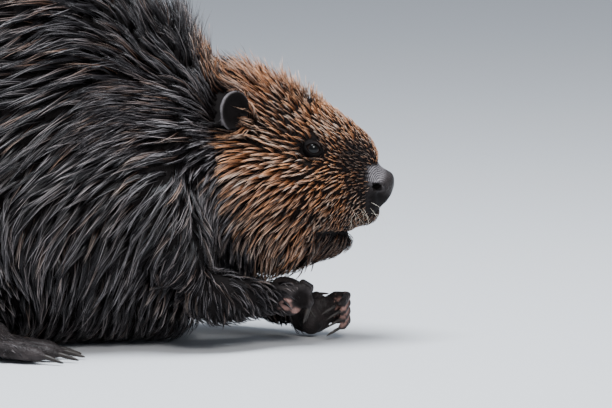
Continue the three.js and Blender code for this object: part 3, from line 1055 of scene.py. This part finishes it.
# the least and the greatest share of the coat's depth that the tips rise through
RISE = {"body": (0.55, 1.0), "neck": (0.6, 1.05), "head": (0.65, 1.1), "face": (0.5, 1.0),
        "limb": (0.45, 0.9), "paw": (0.3, 0.6)}


def nearest_skin(points):
    """The nearest place on the skin to each point, and the skin's normal there."""
    found = [skin_surface.find_nearest(Vector(p)) for p in points]
    return np.array([f[0] for f in found]), np.array([f[1] for f in found])


def turned(vectors, normals, angle):
    """Vectors laid flat on the skin and turned by an angle about its normal."""
    flat = unit(vectors - normals * (vectors * normals).sum(1, keepdims=True))
    aside = np.cross(normals, flat)
    return flat * np.cos(angle)[:, None] + aside * np.sin(angle)[:, None]


def bristling(p):
    """1 where the hair stands up: the front of the hump, and somewhat the crown."""
    x, y, z = p.T
    hump = step(-135, -95, x) * step(-52, -66, x) * step(196, 214, z) * step(75, 30, np.abs(y))
    crown = 0.7 * step(-62, -50, x) * step(30, 0, x) * step(40, 15, np.abs(y)) * step(165, 185, z)
    return np.maximum(hump, crown)


spots, normals = nearest_skin(roots)
place = local(spots)
length = comb(place)[1] * rng.uniform(0.8, 1.3, len(spots))
length[root_kinds == "body"] *= 1.12  # the comb's lengths come out a little short on the body
length[on_ear(place, parts_under(spots)) > 0] = EAR_HAIR
low, high = np.array([RISE[kind] for kind in root_kinds]).T
gap = np.array([outline.find_nearest(Vector(p))[3] for p in spots]) / MM
stand = bristling(place)
rise = np.minimum(gap, 18) * rng.uniform(low, high) * (1 + 0.25 * stand)
rise = np.maximum(rise, np.where(root_kinds == "paw", 0.3, 1.8))
x, y, z = place.T
down = step(-0.1, -0.7, normals[:, 2])
hang = 4 * down * (root_kinds == "limb") * step(-45, -60, x)
hang += 11 * down * np.isin(root_kinds, ["head", "neck"]) * step(22, 5, x) * step(-70, -50, x)
rise = np.minimum(rise + (9 * stand + hang) * rng.random(len(rise)) ** 2, 0.85 * length)
swirl = 0.17 * np.sin(x / 23 + z / 31 + 1.3) + 0.13 * np.sin(z / 15 - x / 37 + y / 40)
on_head = np.isin(root_kinds, ["head", "face"])
turn = swirl * np.where(on_head, 0.6, 1) + rng.normal(0, 0.17, len(spots)) * np.where(on_head, 0.65, 1)
run = np.sqrt(np.maximum(length**2 - rise**2, 1)) / (STEPS - 1)

lines, ups = [], []
spot, normal = spots, normals
for i in range(STEPS):
    t = i / (STEPS - 1)
    height = rise * (1 - (1 - t) ** (1.5 - 0.4 * stand)) - 1.0 * (1 - t) ** 4
    lines.append(spot + normal * height[:, None] * MM)
    ups.append(normal)
    heading = turned(comb(local(spot))[0], normal, turn * (1 - 0.6 * t))
    spot, normal = nearest_skin(spot + heading * (run * MM)[:, None])
    normal = unit(normal + ups[-1])
lines, ups = np.stack(lines, 1), np.stack(ups, 1)


def clear_of(middle, size):
    """How much of each line is left before it runs over an oval on the side of the head."""
    p = local(lines)
    inside = (oval(p, (middle[0], middle[2]), size) < 1) & (np.abs(p[..., 1]) > 30)
    return np.where(inside.any(1), inside.argmax(1) / (STEPS - 1), 1.0)


clear_of_ear = clear_of(local(middle("ear_left")) - [4, 0, 0], (EAR["long"] * 0.66, EAR["high"] * 0.86))
clear_of_eye = clear_of(eye_centre("left"), (LID["long"] + 2.2, LID["high"] + 2.2))
kept = np.minimum(clear_of_ear, clear_of_eye)
print("lines:", lines.shape, "mean rise", round(float(rise.mean()), 1), "mm")

# %% [markdown]
# Baked colours need a texture map. Unwrapping every hair would fill the map with slivers. The skin is
# thinned and unwrapped once instead, and each hair gets a tiny patch of that map at its root's place.

# %% Unwrap of the skin
MAP_FACES = 8000
PATCH = 0.003  # the size of a hair's patch, as a share of the map

coarse = new_object("unwrap", skin.data.copy())
apply_modifier(coarse, "DECIMATE", ratio=MAP_FACES / len(coarse.data.polygons))
with edit_mode(coarse):
    bpy.ops.mesh.select_all(action="SELECT")
    bpy.ops.uv.smart_project(angle_limit=math.radians(66), island_margin=0.004)
map_uv = read(coarse.data.uv_layers.active.data, "uv", 2)
map_points = points_of(coarse.data)[read(coarse.data.loops, "vertex_index", kind=np.int32)]
map_surface = surface_of(coarse)
map_faces = [list(face.loop_indices)[:3] for face in coarse.data.polygons]


def map_places(points):
    """The place of points of the skin on its unwrap."""
    places = np.zeros((len(points), 2))
    for i, p in enumerate(points):
        spot, _, face, _ = map_surface.find_nearest(Vector(p))
        loops = map_faces[face]
        a, b, c = map_points[loops]
        whole = np.linalg.norm(np.cross(b - a, c - a))
        parts = [np.linalg.norm(np.cross(n - spot, m - spot)) for n, m in ((b, c), (c, a), (a, b))]
        places[i] = np.array(parts) @ map_uv[loops] / max(whole, 1e-12)
    return np.clip(places, PATCH, 1 - PATCH)


root_places = map_places(spots)
bpy.data.objects.remove(coarse)
print("unwrap has room for", len(root_places), "locks")

# %% [markdown]
# Blender's hair curves could draw a coat, but they are not solid meshes. Here each hair is a pointed
# three-sided rod. The hairs of a lock start apart, in a little patch around its root, and run together
# to one point, as wet hair does. A thin web fills the fan between them: it is the sheet of finer hairs
# that the water glues together.

# %% Places along the locks
HAIR = [(-1, -0.3), (1, -0.3), (0, 0.6)]  # corners of the cross-sections, in half widths
WEB = [(-1, 0), (0, -0.12), (1, 0), (0, 0.16)]
HAIR_TAPER = {2: [1, 0.7], 3: [1, 0.95, 0.6]}  # by the number of rings
RINGS_AT = {2: [0, 0.5, 1], 3: [0, 0.38, 0.75, 1]}
WEB_RINGS_AT = [0, 0.3, 0.65, 0.97]
GATHER = 1.7  # the greater, the sooner the hairs of a lock run together


def along_line(values, t):
    """Values on lines (count x STEPS x 3) at fractions t (count x rings)."""
    place = np.clip(t, 0, 1) * (STEPS - 1)
    i = np.minimum(place.astype(int), STEPS - 2)
    rows = np.arange(len(values))[:, None]
    share = (place - i)[..., None]
    return values[rows, i] * (1 - share) + values[rows, i + 1] * share


def offsets(count, apart):
    """Random places in a little round patch, along and across the lock."""
    angle = rng.uniform(0, 2 * math.pi, count)
    reach = np.sqrt(rng.random(count)) * 0.72 * apart
    return reach * np.cos(angle), reach * np.sin(angle)


print("stops along a lock:", STEPS)

# %% Hairs and webs
def grow_hairs(chosen, growth):
    """The hairs of the chosen locks: solids, the lock of each, how far along it its rings are, shade."""
    rings = growth["rings"]
    count = len(chosen) * growth["hairs"]
    lock = np.repeat(chosen, growth["hairs"])
    short = rng.uniform(0.72, 1.06, count) * kept[lock]
    t = np.array(RINGS_AT[rings])[None] * short[:, None]
    middle_line, over = along_line(lines[lock], t), along_line(ups[lock], t)
    along = np.gradient(middle_line, axis=1)
    across = unit(np.cross(over, along))
    ahead, aside = offsets(count, growth["apart"])
    gather = (1 - np.minimum(t, 1)) ** GATHER
    splay = rng.normal(0, 1, (2, count)) * (0.035 + 0.10 * stand[lock]) * length[lock]
    sideways = aside[:, None] * gather + splay[0][:, None] * t**2
    forwards = ahead[:, None] * gather
    loose = 15 * stand[lock] * rng.random(count) ** 3
    lift = splay[1][:, None] * t**2 * 0.5 + loose[:, None] * t**1.5
    paths = middle_line + (sideways[..., None] * across + forwards[..., None] * unit(along)
                           + lift[..., None] * over) * MM
    shade = rng.random(count)
    ride = growth["ride"] * step(0.55, 0.95, shade)[:, None] * np.sin(math.pi * np.minimum(t, 1)) ** 0.6
    paths = paths + over * (ride + 0.25 * growth["width"] * rng.random(count)[:, None])[..., None] * MM
    twist = rng.uniform(-0.8, 0.8, count)[:, None, None]
    over = over * np.cos(twist) + across * np.sin(twist)
    width = growth["width"] / 2 * rng.uniform(0.75, 1.2, count)[:, None] * MM
    half = np.array(HAIR_TAPER[rings])[None] * width
    return sweep(paths, over, half, HAIR), lock, t, shade


def grow_webs(chosen, growth):
    """The webs of the chosen locks, in the same form."""
    t = np.repeat(np.array([WEB_RINGS_AT]), len(chosen), 0)
    t *= (rng.uniform(0.85, 1.0, len(chosen)) * kept[chosen])[:, None]
    over = along_line(ups[chosen], t)
    paths = along_line(lines[chosen], t) - over * 0.3 * MM
    full = growth["web"] * growth["apart"] * rng.uniform(0.8, 1.1, len(chosen))[:, None]
    half = full * np.maximum((1 - t[:, :-1]) ** GATHER, 0.07) * MM
    return sweep(paths, over, half, WEB), chosen, t, 0.5 * rng.random(len(chosen))


print("hairs in each lock:", {kind: growth["hairs"] for kind, growth in GROWTH.items()})

# %% Pieces of the coat
def make_locks(name, solids, lock, t, shade):
    """One mesh of hairs or webs, with its markings and its place on the texture map."""
    blocks, faces = solids
    count, size = blocks.shape[:2]
    corners = (size - 1) // (t.shape[1] - 1)
    blocks[..., 2] = np.maximum(blocks[..., 2], 0.3 * MM)
    piece = joined(name, blocks, faces)
    along = np.clip(np.concatenate([np.repeat(t[:, :-1], corners, axis=1), t[:, -1:]], axis=1), 0, 1)
    of_lock = {"shade": shade, "lock": lock_tone[lock], "web": np.full(count, float(corners == len(WEB)))}
    of_lock |= {marking: mask(place[lock]) for marking, mask in MARKINGS.items()}
    store(piece.data, "along", along.ravel())
    for word, values in of_lock.items():
        store(piece.data, word, np.repeat(values, size))
    patch = np.stack([np.arange(size) % corners / corners, along[0]], 1) - 0.5
    uv = root_places[lock][:, None] + PATCH * patch[np.concatenate(faces)][None]
    layer = piece.data.uv_layers.new(name="OFBake")
    layer.data.foreach_set("uv", uv.astype(np.float32).ravel())
    return piece


def make_coat(name, chosen):
    """One piece of the coat: all the locks that are chosen by their numbers."""
    pieces = []
    for kind, growth in GROWTH.items():
        mine = chosen[root_kinds[chosen] == kind]
        if len(mine):
            pieces.append(make_locks(name, *grow_hairs(mine, growth)))
        if len(mine) and growth["web"]:
            pieces.append(make_locks(name, *grow_webs(mine, growth)))
    return join(pieces[::-1], name)


print("masks on each hair:", *MARKINGS)

# %% [markdown]
# All the hair in one mesh would be too heavy to handle. The coat is cut into bands from the face to the
# rump, by where the roots stand, and each band has a right and a left piece.

# %% Sections of the coat
BAND_ENDS = {"shoulder": -155, "flank": -240, "haunch": -342}

x, y, z = place.T
trunk_band = np.select([x > end for end in BAND_ENDS.values()], list(BAND_ENDS), "rump")
of_head = np.isin(root_kinds, ["head", "neck"])
of_arm = (root_kinds == "limb") & (x > BAND_ENDS["shoulder"])
band = np.select([root_kinds == "face", of_head, of_arm], ["face", "head", "arm"], trunk_band)
section = np.char.add(np.char.add(band.astype("U12"), "_"), np.where(y < 0, "right", "left"))
section[kept < 0.3] = ""  # too little of these locks is left
lock_tone = rng.random(len(spots))
names = sorted(set(section) - {""})
coats = [make_coat(f"coat_{name}", np.flatnonzero(section == name)) for name in names]


def triangles(piece):
    return int((read(piece.data.polygons, "loop_total", kind=np.int32) - 2).sum())


for piece in coats:
    print(piece.name, triangles(piece))
print("triangles of the coat:", sum(map(triangles, coats)))

# %% [markdown]
# A material is a tree of nodes. Wired by hand, each node takes several lines. These helpers add a node,
# feed its inputs and give back its output, so that a recipe reads like a sum.

# %% Node helpers
def put(value, socket):
    """Feeds a socket from a number, a colour or another node."""
    if hasattr(value, "is_linked"):
        socket.id_data.links.new(value, socket)
    elif isinstance(value, tuple) and len(socket.default_value) == 4:
        socket.default_value = (*value, 1)
    else:
        socket.default_value = value


class Nodes:
    """Adds shader nodes to one tree. Each method gives the output of its node."""

    def __init__(self, tree):
        self.tree = tree

    def add(self, kind, output, inputs, **settings):
        node = self.tree.nodes.new(f"ShaderNode{kind}")
        for name, value in settings.items():
            setattr(node, name, value)
        for name, value in inputs.items():
            put(value, node.inputs[name])
        return node.outputs[output]

    def attribute(self, name):
        return self.add("Attribute", "Fac", {}, attribute_name=name)

    def place(self):
        return self.add("TexCoord", "Object", {})

    def maths(self, kind, *values):
        return self.add("Math", 0, dict(enumerate(values)), operation=kind)

    def product(self, first, *others):
        for other in others:
            first = self.maths("MULTIPLY", first, other)
        return first

    def total(self, first, *others):
        for other in others:
            first = self.maths("ADD", first, other)
        return first

    def mix(self, factor, a, b, blend="MIX"):
        """The node has sockets of every kind: its colours are inputs 6 and 7 and output 2."""
        return self.add("Mix", 2, {0: factor, 6: a, 7: b}, data_type="RGBA", blend_type=blend)

    def span(self, value, low, high, start=0.0, end=1.0):
        inputs = {"Value": value, "From Min": low, "From Max": high, "To Min": start, "To Max": end}
        return self.add("MapRange", "Result", inputs)

    def ramp(self, factor, stops):
        color = self.add("ValToRGB", "Color", {"Fac": factor})
        elements = color.node.color_ramp.elements
        while len(elements) < len(stops):
            elements.new(0.5)
        for element, (position, tone) in zip(elements, stops):
            element.position, element.color = position, (*tone, 1)
        return color

    def noise(self, scale, detail, stretch=None):
        place = self.place()
        if stretch:
            place = self.add("Mapping", "Vector", {"Vector": place, "Scale": stretch})
        return self.add("TexNoise", "Fac", {"Scale": scale, "Detail": detail, "Vector": place})

    def bump(self, height, distance, strength):
        return self.add("Bump", "Normal", {"Height": height, "Distance": distance, "Strength": strength})


print("node helpers are ready")

# %% Helpers for materials
def new_material(name, roughness=0.5, color=None, specular=0.5):
    """A material, its nodes and the inputs of its surface."""
    material = bpy.data.materials.new(name)
    material.use_nodes = True
    surface = material.node_tree.nodes["Principled BSDF"].inputs
    surface["Roughness"].default_value = roughness
    surface["Specular IOR Level"].default_value = specular
    if color:
        put(color, surface["Base Color"])
        material.diffuse_color = (*color, 1)
    return material, Nodes(material.node_tree), surface


def cover(pieces, material):
    for piece in pieces:
        piece.data.materials.clear()
        piece.data.materials.append(material)


print("helpers for materials are ready")

# %% [markdown]
# The skin and the coat share one recipe for their colour, kept as a node group. It reads the markings
# and how far a point lies along its hair: the body is brown-black with a grey sheen towards the tips,
# painted as light hairs, the head is orange-brown with tan tips, and both are nearly black at the roots.

# %% Colour of the pelt
# colours by how far along the hair they lie
BODY_DARK = [(0.0, (0.004, 0.003, 0.003)), (0.4, (0.009, 0.007, 0.008)), (1.0, (0.017, 0.015, 0.017))]
# the light hairs are painted highlights: glints of the wet hair, brighter towards their tips
BODY_GLINTS = [(0.0, (0.008, 0.006, 0.006)), (0.25, (0.12, 0.108, 0.11)), (0.7, (0.40, 0.37, 0.38))]
HEAD_DARK = [(0.0, (0.006, 0.003, 0.002)), (0.4, (0.016, 0.008, 0.005)), (1.0, (0.045, 0.023, 0.015))]
HEAD_WARM = [(0.0, (0.010, 0.004, 0.003)), (0.35, (0.24, 0.085, 0.030)), (0.9, (0.94, 0.45, 0.21))]
HEAD_PALE = [(0.0, (0.010, 0.006, 0.005)), (0.35, (0.21, 0.13, 0.09)), (0.9, (0.84, 0.67, 0.55))]
DUSK_HAIR = [(0.0, (0.004, 0.003, 0.003)), (0.4, (0.010, 0.007, 0.007)), (1.0, (0.055, 0.041, 0.035))]
RUST = (0.20, 0.050, 0.016)
BROWN = (0.16, 0.075, 0.040)
# painted shade between the hairs: the webs are darkened by this
WEB_SHADE = (0.20, 0.20, 0.23)


def make_pelt_group():
    group = bpy.data.node_groups.new("pelt colour", "ShaderNodeTree")
    for name in ("Brown", "Contrast"):
        group.interface.new_socket(name, in_out="INPUT", socket_type="NodeSocketFloat")
    for name, kind in (("Color", "NodeSocketColor"), ("Gloss mask", "NodeSocketFloat")):
        group.interface.new_socket(name, in_out="OUTPUT", socket_type=kind)
    given, made = group.nodes.new("NodeGroupInput").outputs, group.nodes.new("NodeGroupOutput").inputs
    n = Nodes(group)
    along, shade, lock, web = [n.attribute(name) for name in ("along", "shade", "lock", "web")]
    warm, dusk, rust, pale, deep = [n.attribute(name) for name in MARKINGS]
    patch = n.noise(40, 2)

    # the body: a few light hairs in each lock, painted highlights of the wet hair, some of them brown
    light = n.product(n.span(shade, 0.73, 0.89), n.span(lock, 0.1, 0.9, 0.45, 1.0), given["Contrast"])
    browner = n.product(n.total(given["Brown"], n.product(rust, 0.4)), n.span(lock, 0.45, 0.9))
    bright = n.mix(browner, n.ramp(along, BODY_GLINTS), BROWN)
    body = n.mix(light, n.ramp(along, BODY_DARK), bright)

    # the head: warm and pale locks, redder on the crown, with dark hairs between the light ones
    # pale holds the painted light on the bridge of the nose
    paler = n.total(n.span(pale, 0, 1, -0.1, 0.45), n.span(lock, 0.3, 1.0, 0, 0.9),
                    n.span(patch, 0.35, 0.65, -0.3, 0.3))
    head = n.mix(paler, n.ramp(along, HEAD_WARM), n.ramp(along, HEAD_PALE))
    head = n.mix(n.product(rust, n.span(shade, 0.2, 0.9, 0.75, 0.15)), head, RUST)
    # deep paints light and shade: fewer dark hairs on the lit brow and crown, more on the shaded lower
    # cheek and throat
    darkness = n.total(shade, n.product(rust, -0.10), n.product(deep, -0.22))
    head = n.mix(n.span(darkness, 0.53, 0.39), head, n.ramp(along, HEAD_DARK))

    # both, with the edge between them broken up lock by lock, and the dusky patches, which hold the painted
    # shade of the throat
    edge = n.span(n.total(warm, n.span(lock, 0, 1, -0.45, 0.45)), 0.3, 0.7)
    color = n.mix(edge, body, head)
    strands = n.product(pale, n.span(shade, 0.58, 0.72, 0, 0.9))
    dark = n.product(dusk, n.span(shade, 0.6, 1, 1.0, 0.7), n.maths("SUBTRACT", 1.0, strands))
    color = n.mix(dark, color, n.mix(edge, n.ramp(along, BODY_DARK), n.ramp(along, DUSK_HAIR)))
    # the webs are darkened as painted shade between the hairs
    color = n.mix(web, color, n.mix(1.0, color, WEB_SHADE, "MULTIPLY"))
    put(color, made["Color"])
    put(n.span(patch, 0.3, 0.7), made["Gloss mask"])
    return group


pelt_group = make_pelt_group()
print("nodes in the recipe of the pelt:", len(pelt_group.nodes))


def pelt(n, brown, contrast):
    """The shared recipe's outputs in a material."""
    node = n.tree.nodes.new("ShaderNodeGroup")
    node.node_tree = pelt_group
    node.inputs["Brown"].default_value = brown
    node.inputs["Contrast"].default_value = contrast
    return node.outputs


# %% [markdown]
# The wet coat shines along its hairs, and more on the head and the body than on the face and the arms.
# One recipe serves them all, with a gloss of its own for each part.

# %% Material of the coat
WETNESS = {"face": 0.20, "head": 0.38, "arm": 0.16, "body": 0.38}  # the wetter, the stronger the sheen


def make_coat_material(name):
    material, n, surface = new_material(f"{name} hair", specular=WETNESS[name])
    hair = pelt(n, brown=0.3, contrast=1.0)
    put(hair["Color"], surface["Base Color"])
    put(n.span(hair["Gloss mask"], 0, 1, 0.38, 0.26), surface["Roughness"])
    return material


coat_materials = {name: make_coat_material(name) for name in WETNESS}
for coat in coats:
    cover([coat], coat_materials.get(coat.name.split("_")[1], coat_materials["body"]))
print("coat materials on", len(coats), "pieces")

# %% [markdown]
# The skin shows on the nose, the paws, the feet and the ears as dark leather with fine wrinkles. They
# are too fine to model, so a bump node raises them. Under the coat the skin carries the colours of the
# hair roots. The pads and the creases of the paws are pink. Painted shade darkens the hollows, painted
# highlights lighten the rims of the ears, the lids and the nostrils, and the top of the nose is grey with a
# painted sheen.

# %% Material of the skin
LEATHER = (0.012, 0.010, 0.010)
WORN_LEATHER = (0.034, 0.028, 0.028)
# painted sheen: the top of the nose is grey where the light from above falls on it
NOSE_SHEEN = [(0.2, (0.060, 0.052, 0.055)), (0.75, (0.25, 0.23, 0.24))]
# painted highlight on the rims of the ears, the lids and the nostrils
RIM_HIGHLIGHT = (0.115, 0.104, 0.108)
PINK = (0.36, 0.20, 0.17)
# painted shade in the hollows
PAINTED_SHADE = (0.003, 0.002, 0.002)
MATT = 0.88
GRAIN = {"fine": 420, "coarse": 90, "pores": 620}  # how many to the metre
NOSE_RINGS = 3600  # radians to the metre: a ring every 1.75 mm


def nose_rings(n, coarse_grain):
    """A wave from the nostrils outwards, the same on both sides."""
    both_sides = n.add("VectorMath", 0, {0: n.place()}, operation="ABSOLUTE")
    centre = at(*(NOSTRIL + [2, 0, -1]))
    reach = n.add("VectorMath", "Value", {0: both_sides, 1: centre}, operation="DISTANCE")
    waves = n.maths("MULTIPLY_ADD", reach, NOSE_RINGS, n.product(coarse_grain, 9.0))
    return n.maths("SINE", waves)


def make_skin_material():
    material, n, surface = new_material("skin", specular=0.1)
    # pit is painted shade, rim painted highlights and nose the painted sheen on the top of the nose
    bare, pit, nose, rim, pink = [n.attribute(name) for name in ("bare", "pit", "nose", "rim", "pink")]
    grain, coarse_grain = n.noise(GRAIN["fine"], 4), n.noise(GRAIN["coarse"], 3)
    rings = nose_rings(n, coarse_grain)

    leather = n.mix(n.span(coarse_grain, 0.35, 0.7), LEATHER, WORN_LEATHER)
    ringed = n.maths("MULTIPLY_ADD", rings, 0.28, coarse_grain)
    # painted sheen on the top of the nose
    leather = n.mix(nose, leather, n.ramp(ringed, NOSE_SHEEN))
    uneven = n.span(coarse_grain, 0.38, 0.62, 0.35, 1)
    # painted highlight on the rims
    leather = n.mix(n.product(rim, uneven), leather, RIM_HIGHLIGHT)
    leather = n.mix(n.product(pink, uneven), leather, PINK)
    color = n.mix(bare, pelt(n, brown=0.1, contrast=0.0)["Color"], leather)
    # painted shade in the hollows
    put(n.mix(pit, color, PAINTED_SHADE), surface["Base Color"])

    glossy = n.product(bare, n.span(pit, 0, 1, 1, 0), n.span(grain, 0.3, 0.7, 0.5, 0.36))
    put(n.maths("SUBTRACT", MATT, glossy), surface["Roughness"])

    cells = n.add("TexVoronoi", "Distance", {"Scale": GRAIN["pores"], "Vector": n.place()})
    pores = n.product(n.total(grain, n.product(cells, 0.6)), n.span(pit, 0, 1, 1, 0.1))
    relief = n.total(n.product(rings, nose, 0.8), pores)
    put(n.bump(relief, 0.0006, 1.0), surface["Normal"])
    return material


cover([skin], make_skin_material())
print("the skin has its leather")

# %% [markdown]
# The eye is nearly black and glossy, with an iris that is hardly lighter than its pupil. Claws are dark
# horn with streaks, the tail's scales are mottled dull leather, and the whiskers are pale. Plain values
# would look like plastic, so noise varies the tones.

# %% Materials of the eyes, claws, scales and whiskers
IRIS = [(0.0, (0.004, 0.003, 0.003)), (0.62, (0.010, 0.006, 0.005)), (0.84, (0.008, 0.005, 0.004)),
        (0.87, (0.001, 0.001, 0.001))]  # from the back of the eyeball to its pupil
HORN = [(0.3, (0.012, 0.010, 0.009)), (0.7, (0.034, 0.028, 0.025))]
SCALE_TONES = [(0.3, (0.028, 0.024, 0.023)), (0.7, (0.060, 0.053, 0.050))]

eye_material, n, surface = new_material("eye", roughness=0.06, specular=0.22)
put(n.ramp(n.attribute("facing"), IRIS), surface["Base Color"])

claw_material, n, surface = new_material("claw", roughness=0.42, specular=0.2)
put(n.ramp(n.noise(300, 3, stretch=(0.3, 1, 1)), HORN), surface["Base Color"])

scale_material, n, surface = new_material("tail scale")
tones = n.noise(30, 3)
put(n.ramp(tones, SCALE_TONES), surface["Base Color"])
put(n.span(tones, 0.3, 0.7, 0.42, 0.58), surface["Roughness"])
put(n.bump(n.noise(700, 3), 0.0003, 0.7), surface["Normal"])

whisker_material, _, _ = new_material("whisker", roughness=0.35, color=(0.72, 0.66, 0.55))
for pieces, material in ((eyes, eye_material), (claws, claw_material), ([scales], scale_material),
                         ([whiskers], whisker_material)):
    cover(pieces, material)
print("materials:", len(bpy.data.materials))

# %% [markdown]
# A plain pale floor, a pale sky all round, and large soft lamps overhead give the flat light of an
# overcast day, with a cool sheen along the wet hair.

# %% Floor and lights
select_nothing()
bpy.ops.mesh.primitive_plane_add(size=80)
floor = latest("floor")
floor_material, _, _ = new_material("floor", roughness=0.85, color=(0.56, 0.57, 0.59))
cover([floor], floor_material)

world = bpy.data.worlds.new("pale sky")
bpy.context.scene.world = world
world.use_nodes = True
sky = world.node_tree.nodes["Background"]
sky.inputs["Color"].default_value = (0.80, 0.88, 1.0, 1)
sky.inputs["Strength"].default_value = 0.58


def lamp(name, place, target, size, power, color):
    light = bpy.data.lights.new(name, "AREA")
    light.energy, light.size, light.color = power, size, color
    holder = new_object(name, light)
    holder.location = at(*place)
    holder.rotation_euler = (at(*target) - holder.location).to_track_quat("-Z", "Y").to_euler()
    holder.visible_camera = False
    return holder


lamps = [
    lamp("overhead", (-300, -300, 2200), (-100, 0, 100), 1.2, 135, (0.90, 0.95, 1.0)),
    lamp("front", (700, -2200, 1700), (0, 0, 120), 0.9, 55, (1.0, 0.98, 0.95)),
]
print("lamps:", [holder.name for holder in lamps])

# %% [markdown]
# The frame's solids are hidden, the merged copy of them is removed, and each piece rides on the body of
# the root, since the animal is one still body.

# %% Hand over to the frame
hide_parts(*flesh)
bpy.data.objects.remove(solids)
for piece in [skin, scales, whiskers, *eyes, *claws, *coats]:
    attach(piece, "root")
